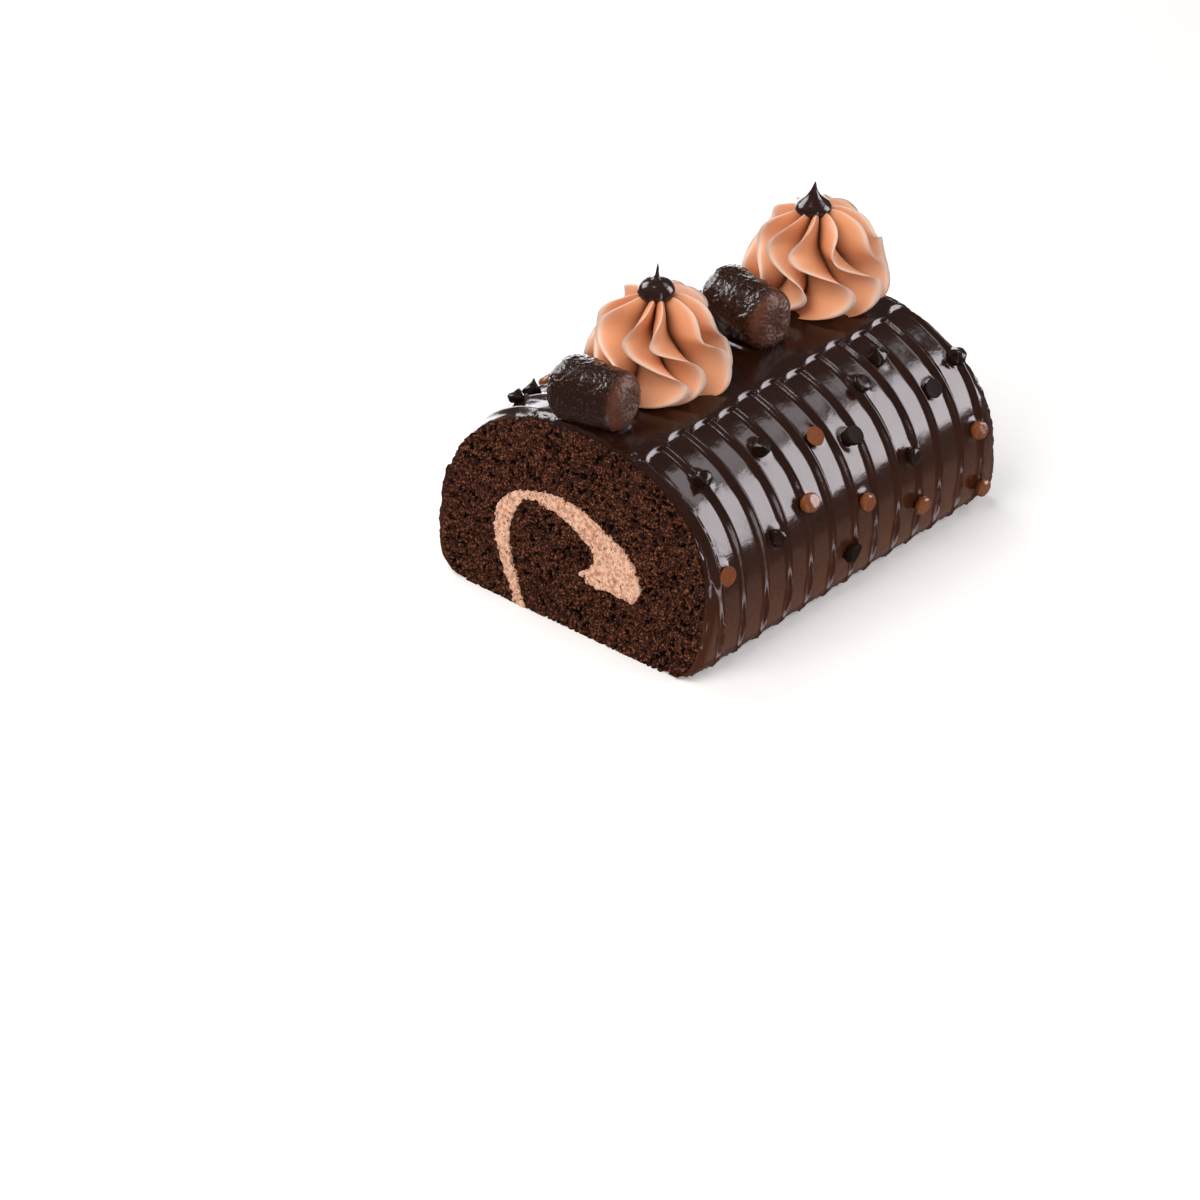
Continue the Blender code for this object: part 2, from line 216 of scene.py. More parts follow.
def finish_piece(name, bm, material, nodes, smooth_angle=None):
    """Closes a mesh into an object that rides with the cake and stands for its CAD nodes."""
    bmesh.ops.recalc_face_normals(bm, faces=bm.faces)
    if bm.calc_volume(signed=True) < 0:
        bmesh.ops.reverse_faces(bm, faces=bm.faces)
    mesh = bpy.data.meshes.new(name)
    bm.to_mesh(mesh)
    bm.free()
    mesh.shade_smooth()
    if smooth_angle:
        mesh.set_sharp_from_angle(angle=math.radians(smooth_angle))
    mesh.materials.append(material)
    piece = bpy.data.objects.new(name, mesh)
    bpy.context.scene.collection.objects.link(piece)
    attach(piece, "root")
    if nodes:
        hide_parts(*nodes)
    return piece


# ---------------------------------------------------------------- the roll's section

def section(angle, inset=0.0):
    """x and z on the roll's section, `angle` degrees round from the crown, `inset` metres under the skin."""
    turn = np.radians(np.abs(angle))
    crown = np.clip(turn, 0.0, math.pi / 2)
    flank = np.clip(turn - math.pi / 2, 0.0, math.pi / 2)
    half_width = ROLL_WIDTH / 2 - inset
    half_base = BASE_WIDTH / 2 - inset
    rise = ROLL_HEIGHT - inset - BELLY_HEIGHT
    upper_x = half_width * np.sin(crown) ** (2 / CROWN_POWER)
    upper_z = BELLY_HEIGHT + rise * np.cos(crown) ** (2 / CROWN_POWER)
    lower_x = half_base + (half_width - half_base) * np.cos(flank) ** (2 / FLANK_POWER)
    lower_z = BELLY_HEIGHT * (1 - np.sin(flank) ** (2 / FLANK_POWER))
    over = turn <= math.pi / 2
    return np.sign(angle) * np.where(over, upper_x, lower_x), np.where(over, upper_z, lower_z)


def section_normal(angle):
    """The way out of the roll's skin, as x and z."""
    step = 0.3
    x0, z0 = section(np.maximum(angle - step, -180.0))
    x1, z1 = section(np.minimum(angle + step, 180.0))
    length = np.hypot(x1 - x0, z1 - z0)
    return (z0 - z1) / length, (x1 - x0) / length


def section_tables():
    """Angles round the section, the way along the skin to each, and how each lies from the belly's middle."""
    angles = np.linspace(-180.0, 180.0, 2881)
    x, z = section(angles)
    arcs = np.concatenate(([0.0], np.cumsum(np.hypot(np.diff(x), np.diff(z)))))
    arcs -= arcs[len(arcs) // 2]
    return angles, arcs, np.arctan2(x, z - BELLY_HEIGHT)


ANGLES, ARCS, BEARINGS = section_tables()


def arc_at(angle):
    return np.interp(angle, ANGLES, ARCS)


def inside_roll(x, z, inset):
    """Whether a point of the section lies deeper than `inset` under the skin."""
    angle = np.interp(np.arctan2(x, z - BELLY_HEIGHT), BEARINGS, ANGLES)
    skin_x, skin_z = section(angle, inset)
    return np.hypot(x, z - BELLY_HEIGHT) < np.hypot(skin_x, skin_z - BELLY_HEIGHT)


def crown_height(x):
    """Height of the smooth top of the coat at x."""
    reach = np.minimum(np.abs(x) / (ROLL_WIDTH / 2), 1.0)
    return BELLY_HEIGHT + (ROLL_HEIGHT - BELLY_HEIGHT) * (1 - reach ** CROWN_POWER) ** (1 / CROWN_POWER)


def front_cut(x, z):
    return ROLL_FRONT + FRONT_SKEW * x + FRONT_LEAN * z


def back_cut(x, z):
    return ROLL_BACK + BACK_SKEW * x + BACK_LEAN * z


# ---------------------------------------------------------------- the cream's outline

def smooth_path(points, steps):
    """Catmull-Rom points through the given ones, ends included."""
    path = []
    last = len(points) - 1
    for i in range(last):
        before, start, end, after = (
            Vector(points[max(i - 1, 0)]), Vector(points[i]), Vector(points[i + 1]),
            Vector(points[min(i + 2, last)]),
        )
        for k in range(steps):
            t = k / steps
            path.append(0.5 * (
                2 * start + (end - before) * t
                + (2 * before - 5 * start + 4 * end - after) * t ** 2
                + (3 * start - before - 3 * end + after) * t ** 3
            ))
    path.append(Vector(points[last]))
    return path


def hook_outline():
    """The closed edge of the cream in metres, ragged where the knife dragged it."""
    steps = 10
    edge = smooth_path(HOOK_OUTER, steps) + smooth_path(HOOK_BLOB, steps)[1:-1]
    edge += smooth_path(HOOK_INNER, steps)
    ragged = []
    for point, before, after in zip(edge, edge[-1:] + edge[:-1], edge[1:] + edge[:1]):
        tangent = (after - before).normalized()
        away = Vector((-tangent.y, tangent.x))
        wander = 0.80 * noise.noise((point.x / 2.2, 0.0, point.y / 2.2))
        wander += 0.75 * noise.noise((point.x / 0.8, 7.0, point.y / 0.8))
        ragged.append((point + away * (wander if point.y > 1 else 0.0)) * MM)
    return ragged


HOOK = np.array([p[:] for p in hook_outline()])


def inside_hook(x, z):
    """Whether a point of the section lies within the cream, by counting the edges over it."""
    inside = np.zeros(np.shape(x), bool)
    for (x0, z0), (x1, z1) in zip(HOOK, np.roll(HOOK, -1, axis=0)):
        if z0 != z1:
            crossing = x < x0 + (z - z0) * (x1 - x0) / (z1 - z0)
            inside ^= ((z0 > z) != (z1 > z)) & crossing
    return inside


def hook_nearest(x, z):
    """The nearest point of the cream's edge to each point of the section, and how far off it is."""
    best = np.full(np.shape(x), np.inf)
    near_x, near_z = np.array(x), np.array(z)
    for (x0, z0), (x1, z1) in zip(HOOK, np.roll(HOOK, -1, axis=0)):
        run_x, run_z = x1 - x0, z1 - z0
        share = ((x - x0) * run_x + (z - z0) * run_z) / max(run_x ** 2 + run_z ** 2, 1e-12)
        share = np.clip(share, 0.0, 1.0)
        foot_x, foot_z = x0 + share * run_x, z0 + share * run_z
        away = np.hypot(x - foot_x, z - foot_z)
        closer = away < best
        best = np.where(closer, away, best)
        near_x = np.where(closer, foot_x, near_x)
        near_z = np.where(closer, foot_z, near_z)
    return near_x, near_z, best


# ---------------------------------------------------------------- sponge and cream

def cut_sheet(cell, keep):
    """A fine upright sheet across the section, of the faces that keep(x, z) wants."""
    bm = bmesh.new()
    columns, rows = round(ROLL_WIDTH / cell), round(ROLL_HEIGHT / cell)
    bmesh.ops.create_grid(bm, x_segments=columns, y_segments=rows, size=0.5)
    bmesh.ops.scale(bm, verts=bm.verts, vec=(ROLL_WIDTH, ROLL_HEIGHT, 1))
    bmesh.ops.rotate(bm, verts=bm.verts, matrix=Matrix.Rotation(math.pi / 2, 3, "X"))
    bmesh.ops.translate(bm, verts=bm.verts, vec=(0, 0, ROLL_HEIGHT / 2))
    middles = np.array([f.calc_center_median()[:] for f in bm.faces])
    wanted = keep(middles[:, 0], middles[:, 2])
    doomed = [face for face, stays in zip(bm.faces, wanted) if not stays]
    bmesh.ops.delete(bm, geom=doomed, context="FACES")
    while True:
        pinched = [v.link_faces[0] for v in bm.verts if len(v.link_edges) == 4 and len(v.link_faces) == 2]
        if not pinched:
            return bm
        bmesh.ops.delete(bm, geom=list(dict.fromkeys(pinched)), context="FACES")


def draw_through(bm):
    """Draws an upright sheet out into a closed body that reaches from one cut to the other."""
    grown = bmesh.ops.extrude_face_region(bm, geom=bm.faces[:])
    far = [item for item in grown["geom"] if isinstance(item, bmesh.types.BMVert)]
    bmesh.ops.translate(bm, verts=far, vec=(0, 1, 0))


def place_cuts(bm, relief):
    """Moves both ends onto the cuts, with relief(x, z, seed) standing out from each."""
    co = places(bm)
    x, z = co[:, 0], co[:, 2]
    front = co[:, 1] < 0.5
    out = np.where(front, relief(x, z, 0.0), relief(x, z, 40.0))
    y = np.where(front, front_cut(x, z) - out, back_cut(x, z) + out)
    move_to(bm, x, y, z)
    return out


def sponge_relief(x, z, seed):
    """Open crumb, as metres out of a cut: soft lumps, fine tufts and torn pores drawn a little upwards."""
    sizes = bpy.context.scene.swiss_roll_sizes
    points = np.column_stack((x, np.full(len(x), seed * MM), z * 0.85)) / MM
    lumps = 0.20 * grain(points, 7.0, seed) + 0.20 * grain(points, 2.4, seed + 3)
    tufts = 0.34 * grain(points, 1.05, seed + 9)
    torn = 0.8 * grain(points, 2.3, seed + 21) + 0.8 * grain(points, 1.15, seed + 27)
    torn = torn + 0.5 * grain(points, 0.75, seed + 31) + 0.24 * grain(points, 9.0, seed + 35)
    holes = ease((torn - 0.10) / 0.45)
    return (lumps + tufts) * MM - sizes.pore_depth * holes


def cream_relief(x, z, seed):
    """Cream dragged by the knife, as metres out of a cut: streaks down the cut and small torn pits."""
    points = np.column_stack((x, np.full(len(x), seed * MM), z * 0.55)) / MM
    streaks = 0.16 * grain(points, 2.0, seed + 5) + 0.10 * grain(points, 0.9, seed + 15)
    pits = ease((grain(points, 1.5, seed + 25) - 0.34) / 0.25)
    return (0.38 + streaks - 0.55 * pits) * MM


def make_sponge(material):
    sizes = bpy.context.scene.swiss_roll_sizes
    edge_tuck = 0.45 * MM

    def keep(x, z):
        slot = inside_hook(x, z) & (hook_nearest(x, z)[2] > edge_tuck)
        points = np.column_stack((x, np.zeros(len(x)), z)) / MM
        ragged = 0.45 * grain(points, 3.0, 4) + 0.35 * grain(points, 1.2, 6)
        under = 2.4 + 0.9 * ease((x / MM + 8) / 45) + ragged
        return inside_roll(x, z, under * MM) & ~slot

    bm = cut_sheet(sizes.crumb_cell, keep)
    draw_through(bm)
    out = place_cuts(bm, sponge_relief)
    # The sponge's material paints shade into the deep pores by this height.
    add_values(bm, "height", out / sizes.pore_depth)
    finish_piece("sponge", bm, material, ["sponge"])


def make_cream(material):
    sizes = bpy.context.scene.swiss_roll_sizes
    bm = cut_sheet(sizes.crumb_cell, inside_hook)
    edge = [vert for vert in bm.verts if vert.is_boundary]
    co = np.array([vert.co[:] for vert in edge])
    near_x, near_z, _ = hook_nearest(co[:, 0], co[:, 2])
    for vert, x, z in zip(edge, near_x.tolist(), near_z.tolist()):
        vert.co.x, vert.co.z = x, z
    draw_through(bm)
    place_cuts(bm, cream_relief)
    finish_piece("cream_filling", bm, material, ["cream_filling"])


# Loose crumbs: how many fall on the two cuts, how many more by each point of the cream's edge, how many are
# built at a time, how far under the skin they keep, and what share of those over the cream stays.
CRUMBS_ON_CUTS = 4600
CRUMBS_BY_EDGE_POINT = 2
CRUMB_BATCH = 60
CRUMB_INSET = 0.0030
SHARE_ON_CREAM = 0.22


def crumb_spots(draw):
    """Places on the two cuts for loose crumbs: most on the sponge, some dragged over the cream's edge."""
    tries = CRUMBS_ON_CUTS * 3
    x = np.array([draw.uniform(-0.5, 0.5) for _ in range(tries)]) * ROLL_WIDTH
    z = np.array([draw.uniform(0.0, 1.0) for _ in range(tries)]) * ROLL_HEIGHT
    dropped = np.array([draw.random() for _ in range(tries)]) > SHARE_ON_CREAM
    on_cream = inside_hook(x, z)
    good = inside_roll(x, z, CRUMB_INSET) & ~(on_cream & dropped)
    spots = list(zip(x[good].tolist(), z[good].tolist(), on_cream[good].tolist()))[:CRUMBS_ON_CUTS]
    for x, z in HOOK.tolist():
        for _ in range(CRUMBS_BY_EDGE_POINT):
            spots.append((x + draw.gauss(0, 0.5) * MM, max(z + draw.gauss(0, 0.5) * MM, MM), True))
    return spots


def make_crumbs(material):
    """Loose tufts of sponge that stand on the cuts. Each is a small irregular lump."""
    sizes = bpy.context.scene.swiss_roll_sizes
    draw = random.Random(11)
    noise.seed_set(11)  # unseeded, Blender's noise vectors change from run to run
    spots = crumb_spots(draw)
    whole = bmesh.new()
    for first in range(0, len(spots), CRUMB_BATCH):
        bm = bmesh.new()
        for number, (x, z, on_cream) in enumerate(spots[first:first + CRUMB_BATCH]):
            radius = sizes.crumb * draw.uniform(0.5, 1.45) * (0.6 if on_cream else 1.0)
            proud = 0.35 * MM if on_cream else -0.05 * MM
            y = front_cut(x, z) - proud if number % 2 else back_cut(x, z) + proud
            turn = Matrix.Rotation(draw.uniform(0, math.tau), 4, Vector((draw.random(), draw.random(), 1)))
            sides = radius, radius * draw.uniform(0.45, 0.9), radius * draw.uniform(0.5, 1.5)
            shape = Matrix.Diagonal((*sides, 1))
            place = Matrix.Translation((x, y, max(z, radius)))
            bmesh.ops.create_icosphere(bm, subdivisions=1, radius=1.0, matrix=place @ turn @ shape)
        part = bpy.data.meshes.new("crumb_batch")
        bm.to_mesh(part)
        bm.free()
        whole.from_mesh(part)
        bpy.data.meshes.remove(part)
    for vert in whole.verts:
        vert.co += sizes.crumb * 0.9 * noise.noise_vector(vert.co / (sizes.crumb * 1.1))
        vert.co.z = max(vert.co.z, 0.0)
    finish_piece("crumbs", whole, material, [])


# ---------------------------------------------------------------- ganache coat

CAP_ARC = float(arc_at(COMB_START))
COAT_COLUMNS, COAT_ROWS = 232, 400

# Over this length from each leaning cut, the coat's rows straighten up to run across the roll.
STRAIGHTEN_OVER = 0.026


def topping_middle(node):
    low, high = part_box(node)
    return (low + high) / 2, high - low


def pools(x, y):
    """How high the ganache is drawn up round what stands in it, by the place on the top, in mm."""
    lift = np.zeros(len(x))
    for where in SIDES:
        middle, size = topping_middle("marshmallow_" + where)
        corner = 0.0035
        reach_x = np.abs(x - middle.x) - (size.x / 2 - 0.0030 - corner)
        reach_y = np.abs(y - middle.y) - (size.y * 0.37 - corner)
        away = np.hypot(np.maximum(reach_x, 0), np.maximum(reach_y, 0)) - corner
        lift = np.maximum(lift, 1.15 * bump(np.maximum(away, 0) / MM, 1.0))
        lift = np.where(away > 0, lift - 0.22 * bump(away / MM - 3.2, 1.3), lift)
        middle, size = topping_middle("rosette_" + where)
        away = np.hypot(x - middle.x, y - middle.y) - size.x / 2 + 0.0025
        lift = np.maximum(lift, 0.30 * bump(np.maximum(away, 0) / MM, 1.4))
    return lift


def chip_collars(arc, y):
    """The small rise of ganache round each chip, in mm."""
    lift = np.zeros(len(arc))
    foot = bpy.context.scene.swiss_roll_sizes.chip / 2
    for y_mm, angle, _, _ in CHIPS:
        away = np.hypot(arc - arc_at(angle), y - y_mm * MM) - foot
        lift = np.maximum(lift, 0.40 * bump(np.maximum(away, 0) / MM, 0.7))
    return lift


def comb_profile(angle, arc, y):
    """Channels and ridges that the comb left, in mm out of the skin.

    A ridge rises gently on its front side and drops steeply behind. Low on the flank it is only a thin line.
    """
    depth = bpy.context.scene.swiss_roll_sizes.comb_depth / MM
    steps = (y - COMB_FIRST) / COMB_PITCH
    number = np.clip(np.round(steps), 0, COMB_CHANNELS - 1)
    sway = 0.022 * np.sin(arc / 0.021 + number * 2.3) + 0.010 * np.sin(arc / 0.0083 + number * 4.1)
    steps = steps + sway * ease((np.abs(arc) - CAP_ARC) / 0.012)
    number = np.clip(np.floor(steps + 0.5), 0, COMB_CHANNELS - 1)
    away = steps - number
    low = ease((np.abs(angle) - 82) / 24)
    from_crest = (away - 0.42) % 1.0
    from_crest = np.where(from_crest > 0.5, from_crest - 1, from_crest)
    before = 0.27 - 0.17 * low
    behind = 0.115 - 0.03 * low
    hump = np.where(from_crest < 0, 1 + from_crest / before, 1 - from_crest / behind)
    hump = ease(hump) ** np.where(from_crest < 0, 1.15, 1.0)
    past_end = (np.abs(steps - (COMB_CHANNELS - 1) / 2) - COMB_CHANNELS / 2) > 0
    hump = np.where(past_end, 1.0, hump)
    start = CAP_ARC + 0.0011 * np.sin(number * 1.9 + 0.7) + 0.0016 * (2 * np.abs(away)) ** 2
    past = (np.abs(arc) - start) / MM
    open_up = ease(past / 0.8)
    fade = 1 - 0.80 * ease((np.abs(angle) - 112) / 34)
    rise = (0.07 + 0.26 * low) * bump(from_crest, 0.055) * open_up
    lip = (0.10 + 0.08 * np.sin(number * 2.7 + 1.0)) * bump(past + 0.55, 0.42) * bump(away + 0.05, 0.2)
    return -depth * fade * (1 - hump) * open_up + lip + rise


def base_scallops(angle, arc, y):
    """Small swags of ganache that the comb left hanging between the ridges just over the base, in mm."""
    half = abs(float(arc_at(180.0)))
    up = (half - np.abs(arc)) / MM
    steps = (y - COMB_FIRST) / COMB_PITCH
    part = np.abs(((steps + 0.5) % 1) - 0.5) * 2
    hang = 5.6 + 3.4 * part ** 1.6 + 1.2 * np.sin(steps * 1.3)
    swag = 0.55 * bump(up - hang, 0.55)
    foot = 0.40 * bump(up - 2.0, 1.4)
    return swag + foot


def coat_lift(angle, arc, x, y, z):
    """How far the ganache stands out of the roll's plain skin, in mm."""
    points = np.column_stack((x, y, z)) / MM
    sway = 0.10 * grain(points, 14.0, 3) + 0.05 * grain(points, 5.0, 5)
    ripples = 0.035 * grain(points * (1.0, 0.6, 1.0), 1.5, 8)
    top = np.abs(arc) < CAP_ARC + 0.004
    lift = comb_profile(angle, arc, y) + base_scallops(angle, arc, y) + sway + ripples
    lift = lift + np.where(top, pools(x, y), 0.0) + chip_collars(arc, y)
    from_end = np.minimum(y - front_cut(x, z), back_cut(x, z) - y) / MM
    torn = 0.45 * grain(points, 1.4, 12) + 0.45 * grain(points, 3.4, 14) - 1.45
    return lift + torn * bump(np.maximum(from_end, 0), 2.3)


def spread(low, high, count, dense):
    """Places from low to high, closer together where dense(place) is larger."""
    fine = np.linspace(low, high, 6001)
    share = np.cumsum(dense(fine))
    share = (share - share[0]) / (share[-1] - share[0])
    return np.interp(np.linspace(0, 1, count), share, fine)


def coat_columns(count):
    """Angles round the section, closer together at the caps of the channels."""
    half = float(arc_at(180.0))
    arcs = spread(-half, half, count, lambda a: 1 + 1.6 * bump((np.abs(a) - CAP_ARC - 0.0008) / MM, 2.2))
    return np.interp(arcs, ARCS, ANGLES)


def coat_rows(count):
    """Places along the roll, closer together at the walls of the channels."""
    def dense(y):
        away = np.abs((((y - COMB_FIRST) / COMB_PITCH + 0.5) % 1) - 0.5)
        return 1 + 1.8 * bump(away - 0.42, 0.10)
    return spread(ROLL_FRONT, ROLL_BACK, count, dense)


def make_coat(material):
    """A combed C-shaped shell, closed through its cut rims and along its base."""
    sizes = bpy.context.scene.swiss_roll_sizes
    bm = bmesh.new()
    bmesh.ops.create_grid(bm, x_segments=COAT_COLUMNS, y_segments=COAT_ROWS, size=0.5)
    co = places(bm)
    column = np.rint((co[:, 0] + 0.5) * COAT_COLUMNS).astype(int)
    row = np.rint((co[:, 1] + 0.5) * COAT_ROWS).astype(int)
    angle = coat_columns(COAT_COLUMNS + 1)[column]
    arc = arc_at(angle)
    x, z = section(angle)
    y = coat_rows(COAT_ROWS + 1)[row]
    front, back = front_cut(x, z), back_cut(x, z)
    near, far = ROLL_FRONT + STRAIGHTEN_OVER, ROLL_BACK - STRAIGHTEN_OVER
    y = np.where(y < near, front + (near - front) * (y - ROLL_FRONT) / (near - ROLL_FRONT), y)
    y = np.where(y > far, far + (back - far) * (y - far) / (ROLL_BACK - far), y)
    lift = coat_lift(angle, arc, x, y, z) * MM
    out_x, out_z = section_normal(angle)
    move_to(bm, x + out_x * lift, y, np.maximum(z + out_z * lift, 0.0))
    inner_rims = []
    for edge_row, cut in ((0, front_cut), (COAT_ROWS, back_cut)):
        rim_verts = {v for v, r in zip(bm.verts, row) if r == edge_row}
        rim = [e for e in bm.edges if e.verts[0] in rim_verts and e.verts[1] in rim_verts]
        grown = bmesh.ops.extrude_edge_only(bm, edges=rim)["geom"]
        for vert in grown:
            if isinstance(vert, bmesh.types.BMVert):
                bearing = math.atan2(vert.co.x, vert.co.z - BELLY_HEIGHT)
                inner_x, inner_z = section(np.interp(bearing, BEARINGS, ANGLES), sizes.coat)
                tucked = cut(inner_x, inner_z) * 0.992
                vert.co = inner_x, tucked, max(float(inner_z), 0.0)
        inner_rims += [e for e in grown if isinstance(e, bmesh.types.BMEdge)]
    bmesh.ops.bridge_loops(bm, edges=inner_rims)
    bmesh.ops.holes_fill(bm, edges=[e for e in bm.edges if e.is_boundary], sides=0)
    finish_piece("ganache_coat", bm, material, ["ganache_coat"], 62)


# ---------------------------------------------------------------- rosettes and drops

# A rosette's fins, from the middle of its underside over its rim to its top. The crest of a fin: how far out
# and how high it is, as shares of the radius and height, and how far it swings round, in fins. Its grooves:
# how far out they are, as shares of the crest, and how far they swing.
CREST_RADIUS = (
    (0, 0), (0.08, 0.80), (0.13, 0.97), (0.18, 1.03), (0.24, 1.03), (0.30, 1.0), (0.36, 0.95),
    (0.42, 0.89), (0.48, 0.84), (0.55, 0.81), (0.62, 0.76), (0.70, 0.66), (0.80, 0.48), (0.90, 0.26),
    (0.96, 0.12), (1, 0.02),
)
CREST_RISE = (
    (0, 0), (0.08, 0), (0.13, 0.03), (0.18, 0.09), (0.24, 0.19), (0.30, 0.30), (0.36, 0.41),
    (0.42, 0.50), (0.48, 0.58), (0.55, 0.67), (0.62, 0.77), (0.70, 0.87), (0.80, 0.95), (0.90, 1.0),
    (0.96, 0.99), (1, 0.95),
)
CREST_SWING = (
    (0, -0.5), (0.06, -0.5), (0.12, -0.22), (0.18, 0.34), (0.24, 0.74), (0.30, 0.82), (0.36, 0.62),
    (0.42, 0.16), (0.48, -0.34), (0.55, -0.56), (0.62, -0.50), (0.70, -0.30), (0.80, -0.10),
    (0.90, 0), (1, 0),
)
GROOVE_RADIUS = (
    (0, 1), (0.08, 0.90), (0.16, 0.72), (0.24, 0.56), (0.32, 0.50), (0.42, 0.47), (0.52, 0.40), (0.65, 0.33),
    (0.80, 0.30), (0.92, 0.45), (1, 0.8),
)
GROOVE_SWING = (
    (0, -0.1), (0.15, 0.0), (0.30, 0.22), (0.42, 0.02), (0.55, -0.24), (0.70, -0.14), (0.85, 0.0), (1, 0.0),
)

# How strongly each fin of a rosette folds back, going round from its first.
FOLDS = (0.50, 0.45, 0.70, 0.80, 1.00, 0.85, 0.75, 1.05, 1.20, 1.00)
FIN_SEGMENTS, ROSETTE_RINGS = 36, 130
ROSETTE_SINK = 0.0006

# A drop's outline from the middle of its underside to its tip: shares of its radius and of its height.
DROP_OUTLINES = {
    "front": (
        (0, 0), (0.6, 0), (0.93, 0.08), (1.0, 0.20), (0.94, 0.33), (0.78, 0.43), (0.54, 0.50), (0.30, 0.54),
        (0.15, 0.60), (0.09, 0.70), (0.06, 0.85), (0, 1),
    ),
    "rear": (
        (0, 0), (0.6, 0), (0.95, 0.08), (1.0, 0.20), (0.90, 0.30), (0.68, 0.40), (0.46, 0.50), (0.30, 0.61),
        (0.19, 0.72), (0.11, 0.83), (0.06, 0.93), (0, 1),
    ),
}


def turned(segments, rings):
    """A sheet to wrap into a closed round body, with each point's angle round it and share of the way up."""
    bm = bmesh.new()
    bmesh.ops.create_grid(bm, x_segments=segments, y_segments=rings, size=0.5)
    co = places(bm)
    return bm, (co[:, 0] + 0.5) * math.tau, co[:, 1] + 0.5


def wrap(bm):
    """Closes a wrapped sheet along its seam and at its two poles."""
    bmesh.ops.remove_doubles(bm, verts=bm.verts, dist=0.002 * MM)


def make_rosette(where, material, turn_degrees, seed):
    """Thin fins round a dome. Low down each swings aside and folds back as a ruffle of ribbon."""
    low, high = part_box("rosette_" + where)
    middle = (low + high) / 2
    radius = (high.x - low.x) / 2
    height = high.z - ROLL_HEIGHT
    bm, angle, share = turned(FINS * FIN_SEGMENTS, ROSETTE_RINGS)
    pitch = math.tau / FINS
    fin = (angle / pitch + 0.5) % 1 - 0.5
    number = np.round(angle / pitch) % FINS
    beside = np.abs(2 * fin)
    groove = beside ** 0.66
    low_down = ease((0.62 - share) / 0.18)
    strength = np.array(FOLDS)[number.astype(int)]
    reach = 1.0 + low_down * 0.045 * np.sin(number * 1.7 + seed * 3.1)
    crest_r = along(CREST_RADIUS, share) * reach
    r = radius * crest_r * (1 - groove * (1 - along(GROOVE_RADIUS, share)))
    crest_swing = along(CREST_SWING, share) * strength
    swing = crest_swing * (1 - groove) + along(GROOVE_SWING, share) * groove
    uneven = 0.18 * np.sin(number * 3.3 + seed) * (1 - beside)
    swept = angle + math.radians(turn_degrees) + pitch * (swing + uneven)
    x = middle.x + r * np.cos(swept)
    y = middle.y + r * np.sin(swept)
    rise = along(CREST_RISE, share)
    rise = rise + 0.06 * (1 - groove) * np.sin(number * 2.9 + seed * 2.2) * bump(share - 0.38, 0.10)
    foot = crown_height(x) * (1 - rise) + ROLL_HEIGHT * rise
    move_to(bm, x, y, foot + height * rise - ROSETTE_SINK * (1 - rise))
    # A mask for a painted highlight along the thin ridge line of each fin.
    crest = (1 - beside) ** 18 * ease((share - 0.14) / 0.08)
    add_values(bm, "crest", crest)
    # A mask for painted shade down in each groove.
    add_values(bm, "groove", beside ** 2.6 * ease((share - 0.08) / 0.12))
    wrap(bm)
    finish_piece("rosette_" + where, bm, material, ["rosette_" + where])


# A drop stands a little into its rosette, and its tip stops a little short of its box.
DROP_SINK, DROP_SHORT = 0.0022, 0.0010


def make_drop(where, material):
    """A chocolate drop set in the top of a rosette, drawn up to a peak."""
    low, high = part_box("drop_" + where)
    middle = (low + high) / 2
    radius = (high.x - low.x) / 2 * 1.02
    height = high.z - low.z
    bm, angle, share = turned(56, 48)
    outline = smooth_path(DROP_OUTLINES[where], 6)
    stations = np.linspace(0, 1, len(outline))
    wobble = 1 + 0.04 * np.sin(3 * angle + 1.0) * (1 - share)
    r = radius * np.interp(share, stations, [max(p.x, 0.0) for p in outline]) * wobble
    lean = 0.0006 * ease((share - 0.6) / 0.4)
    rise = (height + DROP_SINK - DROP_SHORT) * np.interp(share, stations, [p.y for p in outline])
    x = middle.x + r * np.cos(angle) + lean
    y = middle.y + r * np.sin(angle)
    move_to(bm, x, y, low.z - DROP_SINK + rise)
    wrap(bm)
    finish_piece("drop_" + where, bm, material, ["drop_" + where])


# ---------------------------------------------------------------- marshmallows

# Each marshmallow: its thickness and its length as shares of its box, degrees turned aside, the slope of its
# axis, the depth of its dents in mm, and how far back and up it is moved in mm.
MARSHMALLOWS = {
    "front": (0.95, 1.02, 12.0, 0.0, 0.45, 1.1, 0.6),
    "rear": (1.0, 1.03, 0.0, 0.05, 0.80, 0.0, 0.0),
}
MARSHMALLOW_EDGE = 0.0058
MARSHMALLOW_SEGMENTS, MARSHMALLOW_RINGS = 150, 130


